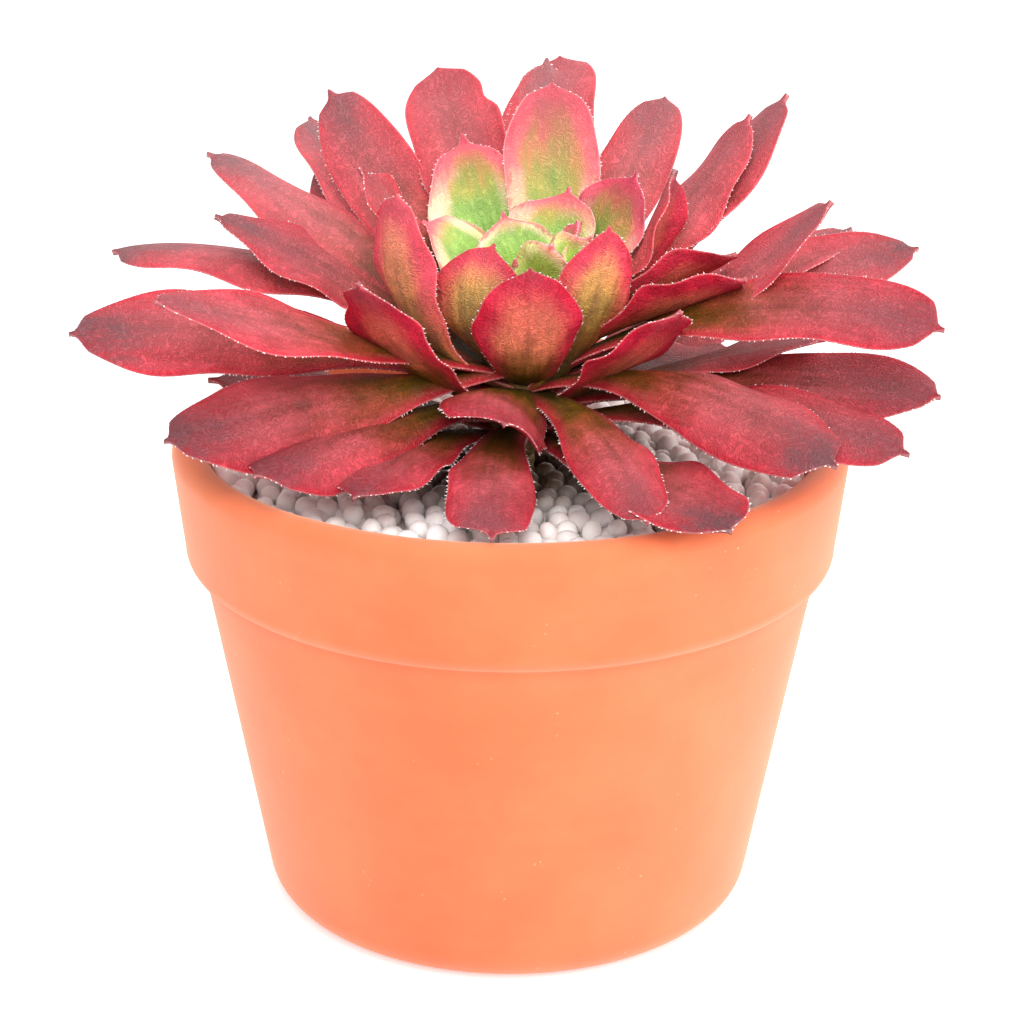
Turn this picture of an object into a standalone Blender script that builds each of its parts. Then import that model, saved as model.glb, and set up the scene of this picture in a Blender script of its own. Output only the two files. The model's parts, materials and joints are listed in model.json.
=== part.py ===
# Potted aeonium: a terracotta pot, its potting soil, a bed of rounded white gravel, and the
# plant, which is a short stem, a rosette of long red leaves and a heart of short green ones.
# The origin is the centre of the pot's foot, +Z is up and the front is -Y.
import math
import random

import bmesh
import bpy
import numpy as np
from mathutils.geometry import delaunay_2d_cdt

# ---- driving dimensions, in millimetres and degrees ----
MM = 0.001
GAP = 0.35                  # clearance between pieces that touch

POT_HEIGHT = 88.6
RIM_RADIUS = 60.6           # outside, at the lip
LIP_THICKNESS = 6.0
COLLAR_LOW_Z = 65.6         # underside of the collar below the rim
COLLAR_LOW_RADIUS = 58.7
BODY_TOP_RADIUS = 55.6
FOOT_RADIUS = 43.9
FLOOR_THICKNESS = 7.0
FLOOR_RADIUS = 38.6         # inside, at the floor
FLOOR_CHAMFER = 2.0         # where the inner wall meets the floor
FOOT_ROUND = 7.0
FOOT_OUT = 1.05              # the leaning wall carries its rounding out by this
COLLAR_ROUND = 3.2
POT_SIDES = 48
DRAIN_RING_RADIUS = 24.0
DRAIN_RADIUS = 4.0
DRAIN_COUNT = 4
DRAIN_SIDES = 12

GRAVEL_LOW_Z = 76.0
GRAVEL_DIP_Z = 80.6         # the dips between pebbles
GRAVEL_TOP_Z = 83.4         # the pebbles' crowns
GRAVEL_UNEVEN = 0.3         # random rise and fall of the dips and crowns
PEBBLE_PITCH = 5.7
PEBBLE_SHIFT = 0.4          # random shift of a pebble from its place
PEBBLE_CROWN_RADIUS = 1.54  # of the triangle that stands for a pebble's crown
WALL_MARGIN = 1.2           # kept free of dips beside the pot's wall and the stem
RIM_SIDES = 48

STEM_FOOT_Z = 46.0
STEM_TOP_Z = 84.6
STEM_RADIUS = 4.4
STEM_SIDES = 16

CROWN_LEAN = 6.0            # sideways lean of the crown, from the gravel to the heart
CROWN_LEAN_FROM_Z = 84.0
CROWN_LEAN_TO_Z = 117.0
CROWN_SPLIT_Z = 103.8       # the heart sits on the rosette's crown here
HEART_TOP_Z = 112.5
CROWN_RADIUS = 5.6
CROWN_TOP_RADIUS = 2.6      # where the heart ends
CROWN_SIDES = 12
LEAF_SEAT_RADIUS = 5.0
HEART_SEAT_SHARE = 0.45     # the seats' radius at the top of the heart, against that below
ROOT_DEPTH = 3.4            # how far a leaf's root is sunk into the crown

LEAF_COUNT = 57
HEART_LEAF_COUNT = 13       # the youngest, green leaves
REDDENED = (8, 11)          # young leaves that have turned red and stand with the rosette
GOLDEN_TURN = 137.5
FIRST_TURN = 318.0
YOUNGEST_SEAT_Z = 112.0
OLDEST_SEAT_Z = 88.0
LEAF_WIDTH = 17.5           # of a full-grown leaf
SHORT_LEAF = 25.0           # up to this length a leaf has fewer rows
PETIOLE_HALF_WIDTH = 2.9
WIDEST_AT = 0.66            # along the leaf
FULL_ROLL_AT = 0.6          # along the leaf, where its roll is complete
MARGIN_THICKNESS = 0.9      # at the seat, as the keel's
KEEL_THICKNESS = 2.3
TIP_THINNING = 0.33         # share of the thickness lost from the seat to the tip
TIP_THICKNESS = 0.6
SMOOTH_ANGLE = 35.0

# Leaves that stray from the spiral's rule. The key is a leaf's age, counted from the youngest.
# turn is the bearing from the front, to the right, and sway its change to the tip; rise is the
# slope at the seat and bend its change to the tip; roll tips the leaf about its own midrib; seat is
# the height of the seat; cup is how far the margins stand above the midrib, as a share of the half
# width; broad widens the stalk and blunt rounds the end.
STRAYS = {
    0: dict(turn=-60, rise=78, bend=0, roll=4, length=10, width=6.6, seat=111, cup=0.26),
    2: dict(turn=-147, sway=-9, rise=50, bend=12, roll=-25, length=39, width=18.2,
            seat=105, cup=0.35, broad=0.9),
    3: dict(turn=7, sway=6, rise=64, bend=-13, roll=-47, length=18, width=13.9, seat=111,
            cup=0.27, broad=1, blunt=-0.8),
    4: dict(turn=158.5, sway=-6, rise=61, bend=4, roll=-6, length=23.7, width=18.5,
            seat=108.8, cup=0.5, broad=0.7, blunt=-0.1),
    5: dict(turn=-90, rise=72, bend=0, length=10),
    6: dict(turn=58, sway=-6, rise=71, bend=-16, roll=-70, length=18, width=11.6, seat=110,
            cup=0.36, broad=0.5),
    7: dict(turn=-133, sway=-11, rise=66, bend=-8, roll=-8, length=16.5, width=17.2,
            seat=112, cup=0.1, broad=0.7, blunt=-0.8),
    8: dict(turn=-47, sway=-10, rise=40, bend=85, roll=44, length=27, width=17.3, seat=100,
            cup=0.44, broad=0.5, blunt=-0.4),
    9: dict(turn=111, sway=-4, rise=63, bend=-4, roll=23, length=31, width=17.2, seat=107,
            cup=0.09, broad=0.3, blunt=0.1),
    10: dict(turn=-114, sway=28, rise=59, bend=-27, roll=-21, length=25, width=15.6,
             seat=108, cup=0.02, broad=0.1),
    11: dict(turn=45, sway=-5, rise=47, bend=35, roll=-21, length=36, width=14.8, seat=98,
             cup=0.2, broad=0.5, blunt=-0.4),
    12: dict(turn=167, sway=14, rise=61, bend=7, roll=7, length=46, width=17, seat=105,
             cup=0.3, blunt=0.6),
    13: dict(turn=-66, sway=10, rise=21, bend=82, roll=12, length=45, width=15.2, seat=98,
             cup=0.2, broad=0.1, blunt=0.4),
    14: dict(turn=86, rise=30, bend=-6, roll=-29, length=35, width=17.5, cup=0.25),
    15: dict(turn=-155, sway=-1, rise=45, bend=4, roll=-28, length=56, width=17.3,
             seat=105, cup=0.25, blunt=0.9),
    16: dict(turn=-1, sway=8, rise=24.5, bend=71, roll=4.5, length=30, width=18.6,
             seat=99.5, cup=0.25, broad=0.6, blunt=-0.05),
    17: dict(turn=121, sway=-5, rise=33, bend=20, roll=1, length=55, width=15.9, seat=104,
             cup=-0.25, broad=0.3),
    18: dict(turn=-93, sway=5, rise=43, bend=17, roll=-10, length=41, width=17.8, cup=0.1,
             blunt=0.9),
    19: dict(turn=70, rise=29, bend=-6, roll=-24, length=38, width=17.5, cup=0.21),
    20: dict(turn=174, rise=54, bend=-24, roll=-12, length=64, width=17.2, seat=103,
             cup=0.13, blunt=1.2),
    21: dict(turn=-47, sway=2, rise=21, bend=41, roll=7, length=45, width=17.5, seat=94,
             cup=0, blunt=0.5),
    22: dict(turn=85, sway=-8, rise=21, bend=30, roll=15, length=60, width=17.7, seat=98,
             cup=0.08, blunt=0.5),
    23: dict(turn=-133, sway=-9, rise=34, bend=8, roll=-54, length=64, width=15.5,
             seat=102, cup=0.09, blunt=0.4),
    24: dict(turn=45, rise=28, bend=18, roll=-5, length=41, width=17.5, seat=94, cup=0.04),
    25: dict(turn=145, sway=3, rise=42, bend=5, roll=3, length=57, width=15.2, seat=101,
             cup=0.1, blunt=0.8),
    26: dict(turn=-59, sway=2, rise=18, bend=2, roll=-19, length=71, width=18, seat=100, cup=0.04),
    27: dict(turn=69, sway=-4, rise=35, bend=-44, roll=27, length=74, width=17.7, seat=100,
             cup=0.06, blunt=0.8),
    28: dict(turn=-141, sway=-4, rise=32, bend=-9, roll=12, length=73, width=19.2, seat=99,
             cup=-0.2, blunt=0.5),
    29: dict(turn=-14, sway=20, rise=20, bend=-24, roll=-22, length=32, width=19, seat=97,
             cup=-0.5, broad=0.8, blunt=1),
    30: dict(turn=119, sway=1, rise=34, bend=17, roll=-6, length=67, width=17.5, seat=99,
             cup=0, blunt=0.4),
    31: dict(turn=-100, sway=13, rise=35, bend=-11, roll=-16, length=58, width=17.1,
             seat=98, cup=0.01, broad=0.3),
    32: dict(turn=45, sway=5, rise=24, bend=-48, roll=19, length=66, width=18, seat=98,
             cup=-0.35, blunt=1.1),
    34: dict(turn=-53, sway=-6, rise=2, bend=-6, roll=-39, length=68, width=17.5, seat=101,
             cup=-0.3, blunt=0.3),
    35: dict(turn=102, sway=2, rise=27, bend=-20, roll=26, length=72, width=17.5, cup=0.17),
    36: dict(turn=-114, sway=5, rise=47, bend=-28, roll=-9, length=69, width=17, seat=96,
             cup=-0.25),
    37: dict(turn=23, sway=-8, rise=13, bend=-36, roll=4, length=56, width=14, seat=96.5,
             cup=-0.28, blunt=0.3),
    38: dict(turn=110, rise=23, bend=-1, roll=6, length=64, cup=0.1),
    39: dict(turn=-80, rise=25, bend=-29, roll=-36, length=77, width=18.2, seat=96,
             cup=-0.15, blunt=0.5),
    40: dict(turn=73, sway=-9, rise=16, bend=-16, roll=22, length=72, width=18.9, seat=94,
             cup=0, blunt=0.4),
    42: dict(turn=-46, rise=8, bend=-17, roll=-14, length=57, width=15.2, seat=95,
             cup=-0.46, blunt=1.2),
    43: dict(turn=103, sway=-6, rise=23, bend=-29, roll=2, length=38, cup=0.06, blunt=1.2),
    44: dict(turn=-102, rise=47, bend=-59, roll=1, length=78, width=17.6, seat=94,
             cup=-0.3, blunt=0.6),
    45: dict(turn=31, sway=-6, rise=2, bend=2, roll=6, length=67, width=20, seat=89.7,
             cup=0.12, broad=0.1, blunt=0.4),
    46: dict(turn=163, rise=18, length=60),
    47: dict(turn=-58, rise=14, bend=-20, roll=-10, length=50),
    48: dict(turn=83, rise=27, bend=-17, roll=-4, length=52, width=17.5, cup=-0.05),
    50: dict(turn=-9, sway=11, rise=14, bend=-29, roll=-9, length=54, width=14.8, seat=90,
             cup=-0.2, blunt=1),
    51: dict(turn=132, rise=16, bend=0, length=52),
    52: dict(turn=-89, rise=17, bend=-16, roll=-5, length=51),
    53: dict(turn=58, rise=23, bend=-33, roll=18, length=73, width=18.5, seat=90,
             cup=-0.05, blunt=0.4),
    54: dict(turn=183, rise=12, length=60),
    55: dict(turn=-38, sway=12, rise=20, bend=-35, roll=-5, length=46, width=17, cup=0, blunt=0.2),
    56: dict(turn=97, sway=-4, rise=43, bend=31, roll=-24, length=39, width=16.8, seat=103,
             cup=-0.4, broad=0.1, blunt=0.3),
}


def leaf_plan(age):
    # The spiral's rule: young leaves are short, broad and steep; old ones long and spreading.
    # The rosette faces a little to the front, so leaves droop there and rise at the back.
    turn = FIRST_TURN + GOLDEN_TURN * age
    spread = min(1.0, age / 28.0)
    front = math.cos(math.radians(turn))
    side = math.sin(math.radians(turn))
    length = 12.0 + 60.0 * (1.0 - math.exp(-age / 15.0))
    plan = dict(
        age=age,
        turn=turn,
        seat=YOUNGEST_SEAT_Z + (OLDEST_SEAT_Z - YOUNGEST_SEAT_Z) * age / (LEAF_COUNT - 1),
        length=length,
        rise=72.0 - 1.05 * age - 6.0 * front * spread,
        bend=8.0 - 30.0 * spread * (0.5 + 0.5 * front),
        roll=22.0 * side * spread,
        sway=0.0,
        width=0.0,
        cup=0.42 - 0.5 * spread,
        broad=max(0.0, 1.0 - age / 14.0),
        blunt=0.0,
    )
    plan.update(STRAYS.get(age, {}))
    if not plan["width"]:
        plan["width"] = min(LEAF_WIDTH, 3.0 + 0.52 * plan["length"])
    return plan


def crown_axis(z):
    share = (z - CROWN_LEAN_FROM_Z) / (CROWN_LEAN_TO_Z - CROWN_LEAN_FROM_Z)
    return np.array([CROWN_LEAN * share, 0.0, z])


def seat_radius(z):
    # The crown narrows towards the heart.
    share = min(1.0, max(0.0, (z - CROWN_SPLIT_Z) / (HEART_TOP_Z - CROWN_SPLIT_Z)))
    return LEAF_SEAT_RADIUS * (1.0 - (1.0 - HEART_SEAT_SHARE) * share)


def leaf_direction(plan, along):
    slope = np.radians(plan["rise"] + plan["bend"] * along)
    bearing = np.radians(plan["turn"] + plan["sway"] * along)
    flat = np.cos(slope)
    return np.stack([flat * np.sin(bearing), -flat * np.cos(bearing), np.sin(slope)], -1)


def leaf_half_width(plan, along):
    # A stalk that widens to a spoon and closes in a shoulder with a short point. Young leaves
    # are broad down to the seat, and a blunt leaf has a rounder end.
    half = plan["width"] / 2.0
    broad = plan["broad"]
    stalk = PETIOLE_HALF_WIDTH + (0.66 * half - PETIOLE_HALF_WIDTH) * broad
    widest = WIDEST_AT - 0.12 * broad
    opening = np.sin(0.5 * np.pi * np.clip(along / widest, 0.0, 1.0) ** (1.6 - 0.6 * broad)) ** 2
    closing = np.clip((along - widest) / (1.0 - widest), 0.0, 1.0)
    shoulder = half * (1.0 - closing ** (2.3 + plan["blunt"])) ** (0.8 - 0.25 * plan["blunt"])
    return np.where(along < widest, stalk + (half - stalk) * opening, shoulder)


def leaf_surface(plan, along, across):
    # Points of the leaf's middle surface, and its unit normals, on the grid along x across.
    steps = 48
    fine = np.linspace(0.0, 1.0, steps + 1)
    strides = leaf_direction(plan, 0.5 * (fine[:-1] + fine[1:])) * plan["length"] / steps
    bearing = math.radians(plan["turn"])
    outward = np.array([math.sin(bearing), -math.cos(bearing), 0.0])
    seat = crown_axis(plan["seat"]) + outward * seat_radius(plan["seat"])
    spine = np.vstack([seat, seat + np.cumsum(strides, 0)])
    heading = leaf_direction(plan, np.clip(along, 0.0, 1.0))
    middle = np.stack([np.interp(along, fine, spine[:, axis]) for axis in range(3)], -1)
    middle += heading * np.minimum(along, 0.0)[:, None] * plan["length"]
    bearings = np.radians(plan["turn"] + plan["sway"] * along)
    level = np.stack([np.cos(bearings), np.sin(bearings), np.zeros_like(along)], -1)
    upright = np.cross(heading, level)
    turning = np.sin(0.5 * np.pi * np.clip(along / FULL_ROLL_AT, 0.0, 1.0)) ** 2
    roll = np.radians(plan["roll"] * turning)[:, None]
    beside = level * np.cos(roll) + np.cross(heading, level) * np.sin(roll)
    above = upright * np.cos(roll) + np.cross(heading, upright) * np.sin(roll)
    half = leaf_half_width(plan, along)
    lift = plan["cup"] * half * half / (plan["width"] / 2.0)
    points = middle[:, None] + beside[:, None] * (half[:, None] * across)[:, :, None]
    points = points + above[:, None] * (lift[:, None] * across ** 2)[:, :, None]
    tilt = np.arctan2(2.0 * lift[:, None] * across, half[:, None] + 1e-6)[:, :, None]
    normals = above[:, None] * np.cos(tilt) - beside[:, None] * np.sin(tilt)
    return points, normals


def leaf_thickness(across, along):
    thick = MARGIN_THICKNESS + (KEEL_THICKNESS - MARGIN_THICKNESS) * (1.0 - np.abs(across) ** 1.6)
    return thick * (1.0 - TIP_THINNING * np.clip(along, 0.0, 1.0))[:, None]


def leaf_solid(plan, grow=0.0):
    # A closed blade: rows of points on both faces, joined round the margin and at the root. A leaf
    # that is cupped deeply has more points across it. grow thickens it all round.
    rows = [0.35, 0.65, 0.9] if plan["length"] < SHORT_LEAF else [0.2, 0.42, 0.6, 0.76, 0.88, 0.96]
    rows.insert(0, -ROOT_DEPTH / plan["length"])
    along = np.array(rows + [1.0 + grow / plan["length"]])
    deep = plan["cup"] * plan["width"] > 4.5
    across = np.array([-1.0, -0.5, 0.0, 0.5, 1.0] if deep else [-1.0, 0.0, 1.0])
    plan = dict(plan, width=plan["width"] + 2.0 * grow)
    points, normals = leaf_surface(plan, along, across)
    half_thick = 0.5 * leaf_thickness(across, along)[:, :, None] + grow
    upper = points + normals * half_thick
    lower = points - normals * half_thick
    count = len(across)
    body = len(rows)
    vertices = [tuple(p) for face in (upper, lower) for row in face[:body] for p in row]
    tip = points[body, count // 2]
    lift = normals[body, count // 2] * (TIP_THICKNESS / 2.0 + grow)
    vertices += [tuple(tip + lift), tuple(tip - lift)]
    low = body * count
    top_tip, low_tip = 2 * low, 2 * low + 1
    faces = []
    for row in range(body - 1):
        for column in range(count - 1):
            a = row * count + column
            b, c, d = a + 1, a + count + 1, a + count
            faces += [(a, b, c), (a, c, d)]
            faces += [(low + c, low + b, low + a), (low + d, low + c, low + a)]
    for edge, turn_round in ((0, False), (count - 1, True)):
        for row in range(body - 1):
            a = row * count + edge
            quad = (a, a + count, low + a + count, low + a)
            faces.append(tuple(reversed(quad)) if turn_round else quad)
        a = (body - 1) * count + edge
        quad = (a, top_tip, low_tip, low + a)
        faces.append(tuple(reversed(quad)) if turn_round else quad)
    last = (body - 1) * count
    for column in range(count - 1):
        a = last + column
        faces += [(a, a + 1, top_tip), (low + a + 1, low + a, low_tip)]
        faces.append((column + 1, column, low + column, low + column + 1))
    return vertices, faces


def material(name, colour, roughness):
    made = bpy.data.materials.new(name)
    made.use_nodes = True
    shader = made.node_tree.nodes["Principled BSDF"]
    shader.inputs["Base Color"].default_value = (*colour, 1.0)
    shader.inputs["Roughness"].default_value = roughness
    shader.inputs["Metallic"].default_value = 0.0
    return made


def make_object(name, vertices, faces, finish):
    mesh = bpy.data.meshes.new(name)
    mesh.from_pydata([(x * MM, y * MM, z * MM) for x, y, z in vertices], [], faces)
    net = bmesh.new()
    net.from_mesh(mesh)
    bmesh.ops.recalc_face_normals(net, faces=net.faces[:])
    bmesh.ops.triangulate(net, faces=[f for f in net.faces if len(f.verts) > 3])
    net.to_mesh(mesh)
    net.free()
    mesh.materials.append(finish)
    made = bpy.data.objects.new(name, mesh)
    bpy.context.scene.collection.objects.link(made)
    return made


def turned(name, profile, sides, finish, centre=None):
    # Turns a profile of (radius, z) points that starts and ends on the axis.
    vertices, rings, faces = [], [], []
    for radius, z in profile:
        middle = (0.0, 0.0) if centre is None else tuple(centre(z)[:2])
        if radius == 0.0:
            rings.append([len(vertices)])
            vertices.append((*middle, z))
            continue
        rings.append(list(range(len(vertices), len(vertices) + sides)))
        for side in range(sides):
            angle = 2.0 * math.pi * side / sides
            x = middle[0] + radius * math.cos(angle)
            y = middle[1] + radius * math.sin(angle)
            vertices.append((x, y, z))
    for lower, upper in zip(rings, rings[1:]):
        for side in range(sides):
            after = (side + 1) % sides
            if len(lower) == 1:
                faces.append((lower[0], upper[side], upper[after]))
            elif len(upper) == 1:
                faces.append((lower[side], upper[0], lower[after]))
            else:
                faces.append((lower[side], upper[side], upper[after], lower[after]))
    return make_object(name, vertices, faces, finish)


def arc(centre_r, centre_z, radius, start, end, steps):
    angles = [math.radians(start + (end - start) * k / steps) for k in range(steps + 1)]
    return [(centre_r + radius * math.cos(a), centre_z + radius * math.sin(a)) for a in angles]


def combine(target, others, operation):
    # One Boolean on a collection, applied, with the collection's objects then removed.
    group = bpy.data.collections.new(target.name + "_operands")
    bpy.context.scene.collection.children.link(group)
    for other in others:
        bpy.context.scene.collection.objects.unlink(other)
        group.objects.link(other)
    boolean = target.modifiers.new("Combine", "BOOLEAN")
    boolean.operation = operation
    boolean.operand_type = "COLLECTION"
    boolean.collection = group
    boolean.solver = "EXACT"
    ready = target.evaluated_get(bpy.context.evaluated_depsgraph_get())
    joined = bpy.data.meshes.new_from_object(ready)
    finish = target.data.materials[0]
    target.modifiers.clear()
    target.data = joined
    target.data.materials.clear()
    target.data.materials.append(finish)
    for other in others:
        bpy.data.objects.remove(other)
    bpy.data.collections.remove(group)


def keep_main_body(target):
    # Drops the scraps that a cut leaves and fills sealed hollows: only the largest shell stays.
    net = bmesh.new()
    net.from_mesh(target.data)
    bmesh.ops.triangulate(net, faces=[f for f in net.faces if len(f.verts) > 3])
    left = set(net.faces)
    shells = []
    while left:
        shell, open_faces = [], [left.pop()]
        while open_faces:
            face = open_faces.pop()
            shell.append(face)
            for edge in face.edges:
                for near in edge.link_faces:
                    if near in left:
                        left.remove(near)
                        open_faces.append(near)
        shells.append(shell)
    shells.sort(key=len, reverse=True)
    spare = [face for shell in shells[1:] for face in shell]
    bmesh.ops.delete(net, geom=spare, context="FACES")
    net.to_mesh(target.data)
    net.free()
    target.data.polygons.foreach_set("material_index", [0] * len(target.data.polygons))


def inner_radius(z):
    # The pot's inner wall tapers straight from the lip to the floor.
    lip_z = POT_HEIGHT - LIP_THICKNESS / 2.0
    share = (z - FLOOR_THICKNESS) / (lip_z - FLOOR_THICKNESS)
    return FLOOR_RADIUS + (RIM_RADIUS - LIP_THICKNESS - FLOOR_RADIUS) * share


def build_pot():
    lip = LIP_THICKNESS / 2.0
    collar_z = COLLAR_LOW_Z + COLLAR_ROUND
    profile = [(0.0, 0.0)]
    profile += arc(FOOT_RADIUS - FOOT_ROUND + FOOT_OUT, FOOT_ROUND, FOOT_ROUND, -90.0, -10.0, 4)
    profile += [(BODY_TOP_RADIUS, COLLAR_LOW_Z)]
    profile += arc(COLLAR_LOW_RADIUS - COLLAR_ROUND, collar_z, COLLAR_ROUND, -75.0, 4.0, 3)
    profile += arc(RIM_RADIUS - lip, POT_HEIGHT - lip, lip, 0.0, 180.0, 6)
    chamfer_z = FLOOR_THICKNESS + FLOOR_CHAMFER
    profile += [(inner_radius(chamfer_z), chamfer_z)]
    profile += [(inner_radius(FLOOR_THICKNESS) - FLOOR_CHAMFER, FLOOR_THICKNESS), (0.0, FLOOR_THICKNESS)]
    finish = material("terracotta", (0.86, 0.30, 0.13), 0.75)
    pot = turned("pot", profile, POT_SIDES, finish)
    low, top = -1.0, FLOOR_THICKNESS + 1.0
    drill = [(0.0, low), (DRAIN_RADIUS, low), (DRAIN_RADIUS, top), (0.0, top)]
    drains = []
    for hole in range(DRAIN_COUNT):
        angle = math.radians(45.0 + 360.0 * hole / DRAIN_COUNT)
        centre = (DRAIN_RING_RADIUS * math.cos(angle), DRAIN_RING_RADIUS * math.sin(angle))
        drains.append(turned("drain", drill, DRAIN_SIDES, finish, lambda z: centre))
    combine(pot, drains, "DIFFERENCE")
    keep_main_body(pot)


def build_soil():
    # Fills the pot below the gravel, with a plain hole for the stem's foot.
    low, top = FLOOR_THICKNESS + GAP, GRAVEL_LOW_Z - GAP
    chamfer_z = low + FLOOR_CHAMFER
    hole = STEM_RADIUS + GAP
    hole_z = STEM_FOOT_Z - GAP
    profile = [(0.0, low), (inner_radius(low) - FLOOR_CHAMFER - GAP, low)]
    profile += [(inner_radius(chamfer_z) - GAP, chamfer_z), (inner_radius(top) - GAP, top)]
    profile += [(hole, top), (hole, hole_z), (0.0, hole_z)]
    turned("potting_soil", profile, POT_SIDES, material("potting_soil", (0.05, 0.035, 0.025), 0.95))


def gravel_points(reach, hole):
    # Points of the gravel's upper face: its two borders, then a crown of three points for each
    # pebble and a dip at each place where three pebbles meet.
    draw = random.Random(7)
    points = []
    for radius, sides in ((reach, RIM_SIDES), (hole, STEM_SIDES)):
        for side in range(sides):
            angle = 2.0 * math.pi * side / sides
            points.append((radius * math.cos(angle), radius * math.sin(angle), GRAVEL_DIP_Z))
    row_step = PEBBLE_PITCH * math.sqrt(0.75)
    corner = PEBBLE_PITCH / math.sqrt(3.0)
    rows = int(reach / row_step) + 1
    columns = int(reach / PEBBLE_PITCH) + 2
    for row in range(-rows, rows + 1):
        for column in range(-columns, columns + 1):
            x = (column + 0.5 * (row % 2)) * PEBBLE_PITCH
            y = row * row_step
            for dip_x, dip_y in ((x, y + corner), (x + 0.5 * PEBBLE_PITCH, y + 0.5 * corner)):
                if hole + WALL_MARGIN < math.hypot(dip_x, dip_y) < reach - WALL_MARGIN:
                    points.append((dip_x, dip_y, GRAVEL_DIP_Z + draw.uniform(-1.0, 1.0) * GRAVEL_UNEVEN))
            nearest = hole + PEBBLE_CROWN_RADIUS + WALL_MARGIN
            farthest = reach - PEBBLE_CROWN_RADIUS - PEBBLE_SHIFT
            if not nearest < math.hypot(x, y) < farthest:
                continue
            x += draw.uniform(-1.0, 1.0) * PEBBLE_SHIFT
            y += draw.uniform(-1.0, 1.0) * PEBBLE_SHIFT
            spin = draw.uniform(0.0, 120.0)
            for point in range(3):
                angle = math.radians(spin + 120.0 * point)
                z = GRAVEL_TOP_Z + draw.uniform(-2.0, 1.0) * GRAVEL_UNEVEN
                points.append((
                    x + PEBBLE_CROWN_RADIUS * math.cos(angle),
                    y + PEBBLE_CROWN_RADIUS * math.sin(angle),
                    z,
                ))
    return points


def build_gravel():
    # A bed of pebbles in relief on a flat disc with a hole for the stem.
    reach = inner_radius(GRAVEL_DIP_Z) - GAP
    hole = STEM_RADIUS + GAP
    vertices = gravel_points(reach, hole)
    flat = [(x, y) for x, y, _ in vertices]
    faces = []
    for triangle in delaunay_2d_cdt(flat, [], [], 0, 1e-6)[2]:
        x = sum(flat[v][0] for v in triangle) / 3.0
        y = sum(flat[v][1] for v in triangle) / 3.0
        if math.hypot(x, y) > hole * math.cos(math.pi / STEM_SIDES):
            faces.append(tuple(triangle))
    shrink = (inner_radius(GRAVEL_LOW_Z) - GAP) / reach
    low = len(vertices)
    vertices += [(x * shrink, y * shrink, GRAVEL_LOW_Z) for x, y in flat[:RIM_SIDES]]
    vertices += [(x, y, GRAVEL_LOW_Z) for x, y in flat[RIM_SIDES:RIM_SIDES + STEM_SIDES]]
    for first, count in ((0, RIM_SIDES), (RIM_SIDES, STEM_SIDES)):
        for side in range(count):
            a, b = first + side, first + (side + 1) % count
            faces.append((a, b, low + b, low + a))
    ratio = RIM_SIDES // STEM_SIDES
    for side in range(STEM_SIDES):
        inner = low + RIM_SIDES + side
        inner_next = low + RIM_SIDES + (side + 1) % STEM_SIDES
        outer = [low + (side * ratio + k) % RIM_SIDES for k in range(ratio + 1)]
        faces += [(inner, outer[k + 1], outer[k]) for k in range(ratio)]
        faces.append((inner, inner_next, outer[ratio]))
    make_object("gravel", vertices, faces, material("white_gravel", (0.84, 0.78, 0.74), 0.6))


def build_stem():
    profile = [(0.0, STEM_FOOT_Z), (STEM_RADIUS, STEM_FOOT_Z)]
    profile += [(STEM_RADIUS, STEM_TOP_Z), (0.0, STEM_TOP_Z)]
    turned("stem", profile, STEM_SIDES, material("stem_bark", (0.22, 0.16, 0.08), 0.8))


def build_rosette(plans):
    # The red leaves, fused with the crown that carries them.
    finish = material("red_leaf", (0.48, 0.05, 0.07), 0.5)
    low, top = STEM_TOP_Z + GAP, CROWN_SPLIT_Z - GAP
    core = [(0.0, low), (STEM_RADIUS, low), (CROWN_RADIUS, low + 3.0), (CROWN_RADIUS, top), (0.0, top)]
    rosette = turned("rosette", core, CROWN_SIDES, finish, crown_axis)
    blades = [make_object("blade", *leaf_solid(plan), finish) for plan in plans]
    combine(rosette, blades, "UNION")
    keep_main_body(rosette)


def build_heart(plans, neighbours):
    # The green leaves, fused with the crown's top. What would cross the rosette is cut away, with
    # a clearance round each red leaf and above the crown.
    finish = material("green_leaf", (0.42, 0.52, 0.16), 0.5)
    core = [(0.0, CROWN_SPLIT_Z), (CROWN_RADIUS - 0.4, CROWN_SPLIT_Z)]
    core += [(CROWN_TOP_RADIUS, HEART_TOP_Z), (0.0, HEART_TOP_Z + 1.0)]
    heart = turned("heart", core, CROWN_SIDES, finish, crown_axis)
    blades = [make_object("blade", *leaf_solid(plan), finish) for plan in plans]
    combine(heart, blades, "UNION")
    clearances = [make_object("clearance", *leaf_solid(plan, GAP), finish) for plan in neighbours]
    reach = CROWN_RADIUS + 1.0
    low = CROWN_SPLIT_Z - 14.0
    below = [(0.0, low), (reach, low), (reach, CROWN_SPLIT_Z), (0.0, CROWN_SPLIT_Z)]
    clearances.append(turned("clearance", below, CROWN_SIDES, finish, crown_axis))
    combine(heart, clearances, "DIFFERENCE")
    keep_main_body(heart)


def main():
    for thing in list(bpy.data.objects):
        bpy.data.objects.remove(thing)
    build_pot()
    build_soil()
    build_gravel()
    build_stem()
    plans = [leaf_plan(age) for age in range(LEAF_COUNT)]
    green = [plan for plan in plans[:HEART_LEAF_COUNT] if plan["age"] not in REDDENED]
    red = [plan for plan in plans if plan not in green]
    build_rosette(red)
    build_heart(green, red)
    for thing in bpy.data.objects:
        thing.data.shade_smooth()
        thing.data.set_sharp_from_angle(angle=math.radians(SMOOTH_ANGLE))


main()
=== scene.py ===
# Potted aeonium: the looks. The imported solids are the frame; the leaves, pebbles, pot and stem are
# made finer here, at the places and sizes of the solids.
import json
import math
import random

import bmesh
import bpy
import numpy as np
from mathutils import Matrix, Vector

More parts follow.
